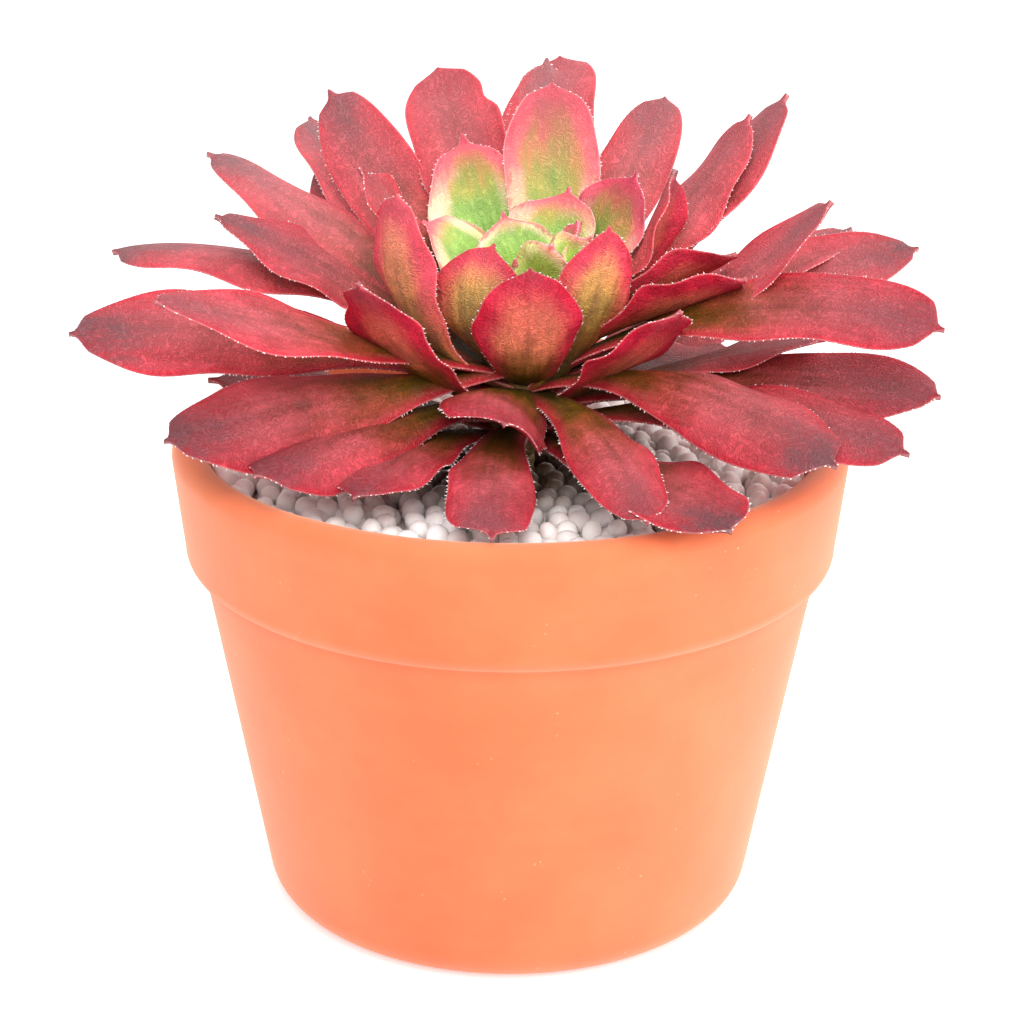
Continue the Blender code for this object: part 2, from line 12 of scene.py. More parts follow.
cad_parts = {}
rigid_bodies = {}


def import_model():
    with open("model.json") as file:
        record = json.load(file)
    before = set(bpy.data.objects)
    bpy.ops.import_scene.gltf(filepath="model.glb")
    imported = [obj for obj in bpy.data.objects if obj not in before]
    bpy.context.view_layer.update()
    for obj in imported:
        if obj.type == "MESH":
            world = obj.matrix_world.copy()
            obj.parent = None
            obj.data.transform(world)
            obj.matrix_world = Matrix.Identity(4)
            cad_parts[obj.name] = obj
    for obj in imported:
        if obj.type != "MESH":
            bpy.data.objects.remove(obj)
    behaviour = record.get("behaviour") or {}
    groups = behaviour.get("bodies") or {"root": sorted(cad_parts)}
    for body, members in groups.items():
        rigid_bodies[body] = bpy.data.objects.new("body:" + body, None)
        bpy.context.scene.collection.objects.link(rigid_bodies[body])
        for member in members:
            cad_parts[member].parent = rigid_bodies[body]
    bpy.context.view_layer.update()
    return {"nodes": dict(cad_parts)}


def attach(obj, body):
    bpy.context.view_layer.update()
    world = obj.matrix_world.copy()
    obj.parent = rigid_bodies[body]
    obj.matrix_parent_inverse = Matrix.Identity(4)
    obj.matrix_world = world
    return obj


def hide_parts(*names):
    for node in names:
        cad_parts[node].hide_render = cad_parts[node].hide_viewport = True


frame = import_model()
mm = 0.001
scene = bpy.context.scene


def linear(hexColour):
    # an sRGB hex value as the linear colour that a shader takes
    parts = [int(hexColour[k:k + 2], 16) / 255.0 for k in (1, 3, 5)]
    return tuple(c / 12.92 if c <= 0.04045 else ((c + 0.055) / 1.055) ** 2.4 for c in parts) + (1.0,)


def output(value):
    # a whole node stands for the first output it has in use
    return next(s for s in value.outputs if s.enabled) if isinstance(value, bpy.types.Node) else value


def addNode(tree, kind, inputs=None, feeds=None, **settings):
    # A node with its settings and links. An input is a plain value, an output socket or a node;
    # feeds is the socket that the node's own output goes to.
    node = tree.nodes.new(kind)
    for name, value in settings.items():
        setattr(node, name, value)
    for name, value in (inputs or {}).items():
        value = output(value)
        if isinstance(value, bpy.types.NodeSocket):
            tree.links.new(value, node.inputs[name])
        else:
            node.inputs[name].default_value = value
    if feeds:
        tree.links.new(output(node), feeds)
    return node


def setRamp(node, stops):
    # colour stops of (place, hex) on a ramp node
    ramp = node.color_ramp
    while len(ramp.elements) > len(stops):
        ramp.elements.remove(ramp.elements[-1])
    while len(ramp.elements) < len(stops):
        ramp.elements.new(1.0)
    for element, (place, hexColour) in zip(ramp.elements, stops):
        element.position = place
        element.color = linear(hexColour)
    return node


def newMaterial(name, values):
    # a material, its tree, its shader with plain values set, and the place on the object
    material = bpy.data.materials.new(name)
    material.use_nodes = True
    shader = material.node_tree.nodes["Principled BSDF"]
    for socketName, value in values.items():
        shader.inputs[socketName].default_value = value
    place = addNode(material.node_tree, "ShaderNodeTexCoord").outputs["Object"]
    return material, material.node_tree, shader, place


def makeMesh(name, vertices, faces, material):
    mesh = bpy.data.meshes.new(name)
    mesh.from_pydata([tuple(v) for v in vertices], [], faces)
    net = bmesh.new()
    net.from_mesh(mesh)
    bmesh.ops.recalc_face_normals(net, faces=net.faces[:])
    net.to_mesh(mesh)
    net.free()
    mesh.materials.append(material)
    mesh.shade_smooth()
    piece = bpy.data.objects.new(name, mesh)
    scene.collection.objects.link(piece)
    return piece


def circle(radius, z, sides, x0=0.0, y0=0.0):
    # points round a level circle, from millimetres to metres
    angles = [2.0 * math.pi * side / sides for side in range(sides)]
    return [((x0 + radius * math.cos(a)) * mm, (y0 + radius * math.sin(a)) * mm, z * mm) for a in angles]


def turnedMesh(name, profile, sides, material, centre=None):
    # turns a profile of (radius, z) in millimetres that starts and ends on the axis
    vertices, rings, faces = [], [], []
    for radius, z in profile:
        x0, y0 = centre(z) if centre else (0.0, 0.0)
        ring = circle(radius, z, sides, x0, y0) if radius else [(x0 * mm, y0 * mm, z * mm)]
        rings.append(list(range(len(vertices), len(vertices) + len(ring))))
        vertices += ring
    for lower, upper in zip(rings, rings[1:]):
        for side in range(sides):
            after = (side + 1) % sides
            if len(lower) == 1:
                faces.append((lower[0], upper[side], upper[after]))
            elif len(upper) == 1:
                faces.append((lower[side], upper[0], lower[after]))
            else:
                faces.append((lower[side], upper[side], upper[after], lower[after]))
    return makeMesh(name, vertices, faces, material)


def arcPoints(centreR, centreZ, radius, start, end, steps):
    angles = [math.radians(start + (end - start) * k / steps) for k in range(steps + 1)]
    return [(centreR + radius * math.cos(a), centreZ + radius * math.sin(a)) for a in angles]


def linePoints(low, high, steps):
    # the points between two profile points, without the ends
    return [tuple(a + (b - a) * k / steps for a, b in zip(low, high)) for k in range(1, steps)]


def settle(piece):
    # keeps what the modifiers make as the piece's own plain mesh
    plain = bpy.data.meshes.new_from_object(piece.evaluated_get(bpy.context.evaluated_depsgraph_get()))
    piece.modifiers.clear()
    piece.data = plain
    return plain


def carry(piece, slotName, *nodes):
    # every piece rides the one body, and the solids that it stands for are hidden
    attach(piece, "root")
    if nodes:
        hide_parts(*nodes)


def terracottaMaterial(look):
    # Terracotta: fired, unglazed clay, pressed in a mould. Matte and even, a little paler where
    # fine salts dry on it, with tiny pale grains of grog and soft clouds from the firing. Its
    # chalky skin catches light where it turns away.
    material, tree, shader, place = newMaterial("unglazed_terracotta", {
        "Sheen Weight": 0.5, "Sheen Roughness": 0.5, "Sheen Tint": linear(look["skin"])})
    clouds = addNode(tree, "ShaderNodeTexNoise", {
        "Vector": place, "Scale": 45.0, "Detail": 4.0, "Roughness": 0.6})
    tone = setRamp(addNode(tree, "ShaderNodeValToRGB", {"Fac": clouds}),
                   [(0.3, look["deep"]), (0.5, look["clay"]), (0.72, look["pale"])])
    # throwing marks and pressing lines 2 to 3 mm apart, seen only as a breath of tone
    rings = addNode(tree, "ShaderNodeMapping", {"Vector": place, "Scale": (8.0, 8.0, 380.0)})
    bands = addNode(tree, "ShaderNodeTexNoise", {"Vector": rings, "Scale": 1.0, "Detail": 2.0})
    bandTone = addNode(tree, "ShaderNodeMapRange", {"Value": bands, "To Min": 0.96, "To Max": 1.04})
    banded = addNode(tree, "ShaderNodeMix", {"Factor": 1.0, "A": tone, "B": bandTone},
                     data_type="RGBA", blend_type="MULTIPLY")
    # grog: pale specks of 0.3 to 0.6 mm
    grains = addNode(tree, "ShaderNodeTexVoronoi", {"Vector": place, "Scale": 620.0, "Randomness": 1.0})
    rare = addNode(tree, "ShaderNodeTexNoise", {"Vector": place, "Scale": 160.0, "Detail": 1.0})
    speck = addNode(tree, "ShaderNodeMapRange", {"Value": grains, "From Min": 0.2, "From Max": 0.1})
    here = addNode(tree, "ShaderNodeMapRange", {
        "Value": rare, "From Min": 0.64, "From Max": 0.72, "To Max": look["grogShare"]})
    specks = addNode(tree, "ShaderNodeMath", {0: speck, 1: here}, operation="MULTIPLY")
    addNode(tree, "ShaderNodeMix", {"Factor": specks, "A": banded, "B": linear(look["grog"])},
            shader.inputs["Base Color"], data_type="RGBA")
    # a fine grit over the low clouds
    grit = addNode(tree, "ShaderNodeTexNoise", {"Vector": place, "Scale": 1400.0, "Detail": 3.0})
    low = addNode(tree, "ShaderNodeBump", {"Height": clouds, "Strength": 0.08, "Distance": 0.002})
    addNode(tree, "ShaderNodeBump", {"Height": grit, "Strength": 0.12, "Distance": 0.0003, "Normal": low},
            shader.inputs["Normal"])
    addNode(tree, "ShaderNodeMapRange", {"Value": clouds, "To Min": 0.72, "To Max": 0.88},
            shader.inputs["Roughness"])
    return material


def soilMaterial():
    # Peat potting soil: dark, crumbly and matte, with brown fibres.
    material, tree, shader, place = newMaterial("peat_soil", {"Roughness": 0.95})
    crumbs = addNode(tree, "ShaderNodeTexVoronoi", {"Vector": place, "Scale": 500.0})
    fibres = addNode(tree, "ShaderNodeTexNoise", {"Vector": place, "Scale": 700.0, "Detail": 5.0})
    mixed = addNode(tree, "ShaderNodeMath", {0: crumbs, 1: fibres}, operation="MULTIPLY")
    setRamp(addNode(tree, "ShaderNodeValToRGB", {"Fac": mixed}, shader.inputs["Base Color"]),
            [(0.05, "#1E130B"), (0.3, "#3D2A1B"), (0.6, "#6A4E35")])
    addNode(tree, "ShaderNodeBump", {"Height": mixed, "Strength": 0.9, "Distance": 0.001},
            shader.inputs["Normal"])
    return material


def pebbleMaterial(look):
    # Tumbled white marble or quartz grit: smooth, milky and a little translucent, each pebble with
    # its own faint tint of cream, pink or grey.
    material, tree, shader, place = newMaterial("tumbled_white_stone", {
        "Roughness": 0.5, "Subsurface Weight": 0.25, "Subsurface Radius": (1.0, 0.8, 0.7),
        "Subsurface Scale": 0.001})
    own = addNode(tree, "ShaderNodeAttribute", attribute_name="pebbleTone").outputs["Fac"]
    tone = setRamp(addNode(tree, "ShaderNodeValToRGB", {"Fac": own}),
                   [(0.0, look["grey"]), (0.25, look["pink"]), (0.6, look["white"]), (1.0, look["cream"])])
    veins = addNode(tree, "ShaderNodeTexNoise", {
        "Vector": place, "Scale": 600.0, "Detail": 4.0, "Distortion": 0.6})
    veinTone = addNode(tree, "ShaderNodeMapRange", {"Value": veins, "To Min": 0.94, "To Max": 1.04})
    veined = addNode(tree, "ShaderNodeMix", {"Factor": 1.0, "A": tone, "B": veinTone},
                     data_type="RGBA", blend_type="MULTIPLY")
    # soil dust and leaf stains round the stem, with painted shade of the leaves above: the pebbles darken
    # towards the stem
    flat = addNode(tree, "ShaderNodeVectorMath", {0: place, 1: (1.0, 1.0, 0.0)}, operation="MULTIPLY")
    fromStem = addNode(tree, "ShaderNodeVectorMath", {0: flat}, operation="LENGTH")
    clearOfDustAndShade = addNode(tree, "ShaderNodeMapRange", {
        "Value": fromStem, "From Min": look["dustAndShadeFrom"] * mm, "From Max": look["dustAndShadeTo"] * mm},
        interpolation_type="SMOOTHSTEP")
    dustAndShade = addNode(tree, "ShaderNodeMix", {
        "Factor": clearOfDustAndShade, "A": linear(look["dustAndShade"]), "B": linear("#FFFFFF")}, data_type="RGBA")
    addNode(tree, "ShaderNodeMix", {"Factor": 1.0, "A": veined, "B": dustAndShade},
            shader.inputs["Base Color"], data_type="RGBA", blend_type="MULTIPLY")
    addNode(tree, "ShaderNodeBump", {"Height": veins, "Strength": 0.15, "Distance": 0.0004},
            shader.inputs["Normal"])
    return material


def barkMaterial():
    # Bark of a short succulent stem: brown-green cork, ringed by the scars of shed leaves.
    material, tree, shader, place = newMaterial("succulent_bark", {"Roughness": 0.85})
    stretched = addNode(tree, "ShaderNodeMapping", {"Vector": place, "Scale": (1.0, 1.0, 2.4)})
    cork = addNode(tree, "ShaderNodeTexNoise", {"Vector": stretched, "Scale": 420.0, "Detail": 5.0})
    setRamp(addNode(tree, "ShaderNodeValToRGB", {"Fac": cork}, shader.inputs["Base Color"]),
            [(0.3, "#3A2A16"), (0.52, "#6A5028"), (0.75, "#94793F")])
    addNode(tree, "ShaderNodeBump", {"Height": cork, "Strength": 0.6, "Distance": 0.0006},
            shader.inputs["Normal"])
    return material


def toothMaterial():
    # Cilia: stiff, clear white hairs on the margins of the leaves.
    return newMaterial("leaf_cilia", {
        "Base Color": linear("#F7E3E2"), "Roughness": 0.4, "Subsurface Weight": 0.4,
        "Subsurface Radius": (1.0, 0.7, 0.7), "Subsurface Scale": 0.0006})[0]


# What the leaves' meshes tell their material, three values to an attribute: the place along the leaf, the
# upper side and the distance from the margin; then the leaf's ripeness, how dry its tip is and a value of its
# own; then how far the dark seat (olive, with painted shade) spreads, how far the flanks push in on the
# centre, and its painted light and shade, a factor on its colour that is darker for leaves that face the
# front and lighter for those behind.
leafValues = dict(leafPlace=("along", "upper", "inset"), leafTone=("ripe", "dry", "own"),
                  leafBase=("gold", "band", "paintedLightShade"))


def leafMaterial(name, look):
    # Living leaf of a succulent: a satin skin over wet flesh. Each face has a centre band and flanks, whose
    # colours run from the green seat to the red tip; streaks, mottling and fine wrinkles break them up.
    # Painted light and shade darken the leaves that face the front and lighten those behind, which also get a
    # painted pale sheen; the red leaves' dark seat root is painted shade, and the wrinkles' lines carry
    # painted highlight and shade.
    material, tree, shader, _ = newMaterial(name, {
        "Subsurface Weight": look["flesh"], "Subsurface Radius": look["fleshRadius"],
        "Subsurface Scale": 0.001, "Specular IOR Level": look["gloss"]})
    at = {}
    for label, names in leafValues.items():
        held = addNode(tree, "ShaderNodeAttribute", attribute_name=label).outputs["Vector"]
        at.update(zip(names, addNode(tree, "ShaderNodeSeparateXYZ", {"Vector": held}).outputs))

    # streaks 0.5 mm apart that run along the leaf, mottling of 3 to 8 mm, and a skin wrinkled
    # into short crooked lines about 0.8 mm apart
    uv = addNode(tree, "ShaderNodeUVMap", uv_map="leafUV")
    stretched = addNode(tree, "ShaderNodeMapping", {"Vector": uv, "Scale": (900.0, 70.0, 1.0)})
    for pattern, vector, scale, detail, distortion in (
            ("streaks", stretched, 1.0, 3.0, 0.0), ("mottle", uv, 150.0, 4.0, 0.0),
            ("wrinkle", uv, 560.0, 1.0, 1.6)):
        at[pattern] = addNode(tree, "ShaderNodeTexNoise", {
            "Vector": vector, "Scale": scale, "Detail": detail, "Roughness": 0.6, "Distortion": distortion},
            noise_dimensions="2D")

    # sums and products of these, where a word stands for what has that name
    for result, operation, first, second in (
            ("crests", "MULTIPLY", "wrinkle", 26.0),
            ("lines", "SINE", "crests", 0.0),
            ("mottleShift", "SUBTRACT", "mottle", 0.5),
            ("streakShift", "SUBTRACT", "streaks", 0.5),
            ("mottleDrift", "MULTIPLY", "mottleShift", look["uneven"]),
            ("streakDrift", "MULTIPLY", "streakShift", look["uneven"] * 0.6),
            ("drift", "ADD", "mottleDrift", "streakDrift"),
            ("unevenInset", "ADD", "inset", "drift"),
            ("driftAlong", "MULTIPLY", "drift", 0.7),
            ("unevenAlong", "ADD", "along", "driftAlong"),
            ("ripened", "ADD", "unevenAlong", "ripe"),
            ("inFromFlank", "SUBTRACT", "unevenInset", "band"),
            ("pastSeat", "SUBTRACT", "unevenAlong", "gold"),
            ("insetBit", "MULTIPLY", "inset", 0.12),
            ("towardsTip", "ADD", "unevenAlong", "insetBit"),
            ("streakRelief", "MULTIPLY", "streaks", 0.5),
            ("lineRelief", "MULTIPLY", "lines", 0.55),
            ("fineRelief", "ADD", "streakRelief", "lineRelief"),
            ("relief", "ADD", "fineRelief", "mottle")):
        at[result] = addNode(tree, "ShaderNodeMath", {0: at.get(first, first), 1: at.get(second, second)},
                             operation=operation)

    # smooth steps over a value, from its low to its high end: the centre band, the seat, the midrib that
    # fades before the tip, the margin, the tip, five shades (the wrinkles' lighter and darker lines are
    # painted highlight and shade), the painted pale sheen, the rim and the gloss
    wrinkle = look["wrinkle"]
    for result, value, low, high, atLow, atHigh in (
            ("centre", "inFromFlank", *look["centreEnds"], 0.0, 1.0),
            ("seatAlong", "pastSeat", *look["seatEnds"], look["seatShare"], 0.0),
            ("seatAcross", "inset", 0.0, 0.4, 0.25, 1.0),
            ("midribAcross", "inset", 0.8, 1.0, 0.0, look["midribShare"]),
            ("midribAlong", "along", 0.95, 0.55, 0.0, 1.0),
            ("marginCover", "unevenInset", look["marginWidth"], 0.0, 0.0, look["marginShare"]),
            ("tip", "towardsTip", 0.84, 1.04, 0.0, 1.0),
            ("streakShade", "streaks", 0.3, 0.7, 0.88, 1.08),
            ("mottleShade", "mottle", 0.3, 0.7, 0.8, 1.12),
            # the wrinkles' lines are painted lighter and darker: painted highlight and shade of their relief
            # over the skin's own lines
            ("wrinkleLineLightShade", "lines", -0.8, 0.9, 1.0 - wrinkle, 1.0 + wrinkle),
            ("ownShade", "own", 0.0, 1.0, 0.9, 1.06),
            ("paintedSheenCover", "paintedLightShade", 1.0, 1.4, 0.0, look["paintedSheenShare"]),
            ("rimCover", "inset", 0.025, 0.0, 0.0, look["rimShare"]),
            ("rough", "mottle", 0.3, 0.7, look["rough"] - 0.06, look["rough"] + 0.08)):
        at[result] = addNode(tree, "ShaderNodeMapRange", {
            "Value": at[value], "From Min": low, "From Max": high, "To Min": atLow, "To Max": atHigh},
            interpolation_type="SMOOTHSTEP")
    for result, first, second in (("seatCover", "seatAlong", "seatAcross"), ("tipCover", "tip", "dry"),
                                  ("midribCover", "midribAcross", "midribAlong")):
        at[result] = addNode(tree, "ShaderNodeMath", {0: at[first], 1: at[second]}, operation="MULTIPLY")

    # the colour ramps run over ripeness from -0.4 to 1.2
    stage = addNode(tree, "ShaderNodeMapRange", {"Value": at["ripened"], "From Min": -0.4, "From Max": 1.2})
    tone = {part: setRamp(addNode(tree, "ShaderNodeValToRGB", {"Fac": stage}), look[part])
            for part in ("centre", "flank", "underCentre", "underFlank")}
    at["aboveTone"], coloured = (
        addNode(tree, "ShaderNodeMix", {"Factor": at["centre"], "A": tone[flank], "B": tone[centre]},
                data_type="RGBA")
        for flank, centre in (("flank", "centre"), ("underFlank", "underCentre")))
    # the seat's colour along the leaf; the red leaves' near-black root end is painted shade of the crowded
    # crown
    at["seatToneAndShade"] = setRamp(addNode(tree, "ShaderNodeValToRGB", {"Fac": at["pastSeat"]}), look["seat"])
    # over the under face's colour come layers of (share, colour), and shades that multiply in full; the last
    # shade is painted light and shade, darker on the leaves that face the front
    at.update((tint, linear(look[tint])) for tint in ("midrib", "margin", "dryTip", "paintedSheen", "rim"))
    for share, colour in (
            ("upper", "aboveTone"), ("seatCover", "seatToneAndShade"), ("midribCover", "midrib"),
            ("marginCover", "margin"), ("tipCover", "dryTip"), (1.0, "streakShade"), (1.0, "mottleShade"),
            (1.0, "wrinkleLineLightShade"), (1.0, "ownShade"), (1.0, "paintedLightShade"), ("paintedSheenCover", "paintedSheen"),
            ("rimCover", "rim")):
        coloured = addNode(tree, "ShaderNodeMix", {
            "Factor": at.get(share, share), "A": coloured, "B": at[colour]},
            data_type="RGBA", blend_type="MULTIPLY" if share == 1.0 else "MIX")
    tree.links.new(output(coloured), shader.inputs["Base Color"])
    tree.links.new(output(at["rough"]), shader.inputs["Roughness"])
    addNode(tree, "ShaderNodeBump", {"Height": at["relief"], "Strength": 0.45, "Distance": 0.0004},
            shader.inputs["Normal"])
    return material


potLook = dict(
    sides=192,
    clay="#D2663A", deep="#CE6034", pale="#D66E42", grog="#F4C4A0", grogShare=0.3, skin="#FFD9BE",
    height=88.6, rimRadius=60.6, lip=6.0,
    collarLowZ=65.6, collarLowRadius=58.7, collarRound=3.2, collarGroove=0.7, collarStep=0.35,
    bodyTopRadius=55.6, footRadius=43.9, footRound=7.0, footOut=1.05,
    floor=7.0, floorRadius=38.6, floorChamfer=2.0, innerKnee=60.0,
    drainRing=24.0, drainRadius=4.0, drains=4, drillLow=-2.0, drillHigh=12.0, drillSides=32,
    sharpAngle=50.0,
)


def innerRadius(z):
    look = potLook
    return np.interp(z, (look["floor"], look["height"] - look["lip"] / 2.0),
                     (look["floorRadius"], look["rimRadius"] - look["lip"]))


def buildPot(material):
    look = potLook
    lip = look["lip"] / 2.0
    rounded, collarRound = look["footRound"], look["collarRound"]
    # the underside and the foot, the tapering wall, the collar, the lip, and down the inside
    profile = [(0.0, 0.0), (look["footRadius"] * 0.5, 0.0)]
    profile += arcPoints(look["footRadius"] - rounded + look["footOut"], rounded, rounded, -90, -10, 12)
    wallTop = (look["bodyTopRadius"], look["collarLowZ"] - look["collarGroove"])
    profile += linePoints(profile[-1], wallTop, 12)
    profile += [wallTop, (look["bodyTopRadius"] + look["collarStep"], look["collarLowZ"] - 0.15)]
    profile += arcPoints(look["collarLowRadius"] - collarRound, look["collarLowZ"] + collarRound,
                         collarRound, -78, 4, 8)
    profile += linePoints(profile[-1], (look["rimRadius"], look["height"] - lip), 5)
    profile += arcPoints(look["rimRadius"] - lip, look["height"] - lip, lip, 0, 180, 16)
    chamferZ = look["floor"] + look["floorChamfer"]
    profile += [(innerRadius(z), z) for z in (look["innerKnee"], chamferZ)]
    profile += [(innerRadius(look["floor"]) - look["floorChamfer"], look["floor"]), (0.0, look["floor"])]
    pot = turnedMesh("pot_terracotta", profile, look["sides"], material)
    drains = bpy.data.collections.new("drains")
    scene.collection.children.link(drains)
    low, high, radius = look["drillLow"], look["drillHigh"], look["drainRadius"]
    for hole in range(look["drains"]):
        angle = math.radians(45.0 + 360.0 * hole / look["drains"])
        place = (look["drainRing"] * math.cos(angle), look["drainRing"] * math.sin(angle))
        drill = turnedMesh("drill", [(0.0, low), (radius, low), (radius, high), (0.0, high)],
                           look["drillSides"], material, lambda z: place)
        scene.collection.objects.unlink(drill)
        drains.objects.link(drill)
    cut = pot.modifiers.new("drains", "BOOLEAN")
    cut.operation, cut.operand_type, cut.collection, cut.solver = "DIFFERENCE", "COLLECTION", drains, "EXACT"
    plain = settle(pot)
    for drill in list(drains.objects):
        bpy.data.objects.remove(drill)
    bpy.data.collections.remove(drains)
    plain.shade_smooth()
    plain.set_sharp_from_angle(angle=math.radians(look["sharpAngle"]))
    carry(pot, "terracotta", "pot")


print("pot")
buildPot(terracottaMaterial(potLook))
for finish in frame["nodes"]["potting_soil"].material_slots:
    finish.material = soilMaterial()

gravelLook = dict(
    white="#FDFAF8", cream="#FBF6EF", pink="#F6ECE8", grey="#E8E0DC",
    # the pebbles near the stem darken to this brown: soil dust with painted shade of the leaves above
    dustAndShade="#5E4A3A", dustAndShadeFrom=14.0, dustAndShadeTo=38.0,
    radius=2.15, spacing=3.5, lump=0.6, seed=11, subdivisions=2,
    topZ=81.5, fillZ=80.1, bedZ=79.2, bedLowZ=76.0, bedSides=96, stemClearance=6.6, edgeRing=0.9,
)


def openTree(name, takes, gives):
    # a geometry tree with its named inputs and one output; gives the tree and its inputs
    tree = bpy.data.node_groups.new(name, "GeometryNodeTree")
    for label, kind in takes:
        tree.interface.new_socket(label, in_out="INPUT", socket_type="NodeSocket" + kind)
    tree.interface.new_socket(gives, in_out="OUTPUT", socket_type="NodeSocketGeometry")
    return tree, addNode(tree, "NodeGroupInput").outputs


def pebbleTree(material):
    # pebbles scattered on a disc without crowding, each turned, sized and lumped on its own
    tree, given = openTree("scatteredPebbles", (
        ("Disc", "Geometry"), ("Radius", "Float"), ("Spacing", "Float"), ("Lump", "Float"), ("Seed", "Int"),
        ("Subdivisions", "Int")), "Pebbles")
    seed = given["Seed"]
    turnSeed = addNode(tree, "ShaderNodeMath", {0: seed, 1: 17.0}, operation="ADD")
    spots = addNode(tree, "GeometryNodeDistributePointsOnFaces", {
        "Mesh": given["Disc"], "Distance Min": given["Spacing"], "Density Max": 400000.0, "Seed": seed},
        distribute_method="POISSON")
    shape = addNode(tree, "GeometryNodeMeshIcoSphere", {
        "Radius": given["Radius"], "Subdivisions": given["Subdivisions"]})
    turn, size = (
        addNode(tree, "FunctionNodeRandomValue", {"Min": low, "Max": high, "Seed": ownSeed},
                data_type="FLOAT_VECTOR")
        for low, high, ownSeed in (((0.0, 0.0, 0.0), (6.28, 6.28, 6.28), turnSeed),
                                   ((0.82, 0.82, 0.72), (1.14, 1.14, 1.02), seed)))
    placed = addNode(tree, "GeometryNodeInstanceOnPoints", {
        "Points": spots, "Instance": shape, "Rotation": turn, "Scale": size})
    ownTone = addNode(tree, "FunctionNodeRandomValue", {"Seed": seed}, data_type="FLOAT")
    toned = addNode(tree, "GeometryNodeStoreNamedAttribute", {
        "Geometry": placed, "Name": "pebbleTone", "Value": ownTone}, data_type="FLOAT", domain="INSTANCE")
    real = addNode(tree, "GeometryNodeRealizeInstances", {"Geometry": toned})
    # each pebble's skin moves in and out along its normals
    noise = addNode(tree, "ShaderNodeTexNoise", {
        "Vector": addNode(tree, "GeometryNodeInputPosition"), "Scale": 260.0, "Detail": 1.0})
    centred = addNode(tree, "ShaderNodeMath", {0: noise, 1: 0.5}, operation="SUBTRACT")
    lift = addNode(tree, "ShaderNodeMath", {0: centred, 1: given["Lump"]}, operation="MULTIPLY")
    push = addNode(tree, "ShaderNodeVectorMath", {0: addNode(tree, "GeometryNodeInputNormal"), "Scale": lift},
                   operation="SCALE")
    lumped = addNode(tree, "GeometryNodeSetPosition", {"Geometry": real, "Offset": push})
    smooth = addNode(tree, "GeometryNodeSetShadeSmooth", {"Geometry": lumped})
    finished = addNode(tree, "GeometryNodeSetMaterial", {"Geometry": smooth, "Material": material})
    addNode(tree, "NodeGroupOutput", {"Pebbles": finished})
    return tree


def bakeNodes(piece, tree, values):
    # runs a geometry tree on a piece and keeps its result as a plain mesh
    modifier = piece.modifiers.new("build", "NODES")
    modifier.node_group = tree
    for item in tree.interface.items_tree:
        if item.in_out == "INPUT" and item.name in values:
            modifier[item.identifier] = values[item.name]
    settle(piece)


def flatRing(name, hole, radius, z, material, sides=64):
    vertices = circle(hole, z, sides) + circle(radius, z, sides)
    faces = [(side, sides + side, sides + (side + 1) % sides, (side + 1) % sides) for side in range(sides)]
    return makeMesh(name, vertices, faces, material)


def buildGravel(material):
    look = gravelLook
    tree = pebbleTree(material)
    # two layers over the whole bed, and two rings of pebbles that lie against the wall
    for name, z, width, seedStep in (
            ("gravel_top", look["topZ"], potLook["rimRadius"], 0),
            ("gravel_fill", look["fillZ"], potLook["rimRadius"], 5),
            ("gravel_edge", look["topZ"] - 0.3, look["edgeRing"], 9),
            ("gravel_low_edge", look["fillZ"] - 0.4, look["edgeRing"], 14)):
        reach = innerRadius(z) - look["radius"] * 1.05
        layer = flatRing(name, max(look["stemClearance"], reach - width), reach, z, material)
        bakeNodes(layer, tree, {
            "Radius": look["radius"] * mm, "Spacing": look["spacing"] * mm, "Lump": look["lump"] * mm,
            "Seed": look["seed"] + seedStep, "Subdivisions": look["subdivisions"]})
        carry(layer, "white_gravel", *(["gravel"] if name == "gravel_top" else []))
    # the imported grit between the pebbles, down to the soil
    low, high = look["bedLowZ"], look["bedZ"]
    profile = [(0.0, low), (innerRadius(low) - 0.35, low), (innerRadius(high) - 0.2, high), (0.0, high)]
    carry(turnedMesh("gravel_bed", profile, look["bedSides"], material), "white_gravel")


print("gravel")
buildGravel(pebbleMaterial(gravelLook))

# One rule for all the leaves, in millimetres and degrees. Where a value is a pair, its second
# number goes with the leaf's age, its spread or its length.
leafRule = dict(
    count=57, heart=13, reddened=(8, 11), goldenTurn=137.5, firstTurn=318.0, spreadBy=28.0, broadUntil=14.0,
    length=(12.0, 60.0), lengthAge=15.0, narrow=(3.0, 0.52), rise=(72.0, -1.05), frontRise=-6.0,
    # the painted light and shade: leaves that face the front are painted darker, those behind and at the
    # sides lighter
    bend=(8.0, -30.0), sideRoll=22.0, cup=(0.42, -0.5), wave=(0.35, 0.45), paintedLightShade=(1.1, -0.12),
    seat=(112.0, -24.0), width=17.5, stalk=3.5, broadStalk=0.66, widestAt=0.66,
    fullRollAt=0.6, tipHalf=0.15, pointSlope=0.42, pointFlare=2.1, wander=0.035, bulge=0.35, strides=96,
    marginThickness=0.34, keelThickness=2.2, tipThinning=0.45, groove=0.35, rootDepth=3.4,
    crownLean=(0.0, 6.0), crownLeanZ=(84.0, 117.0), seatRadius=(5.0, 2.25), seatRadiusZ=(103.8, 112.5),
    rows=48, columns=9, toothSpacing=0.85, toothShare=0.66, toothLength=0.38, toothRadius=0.125,
)

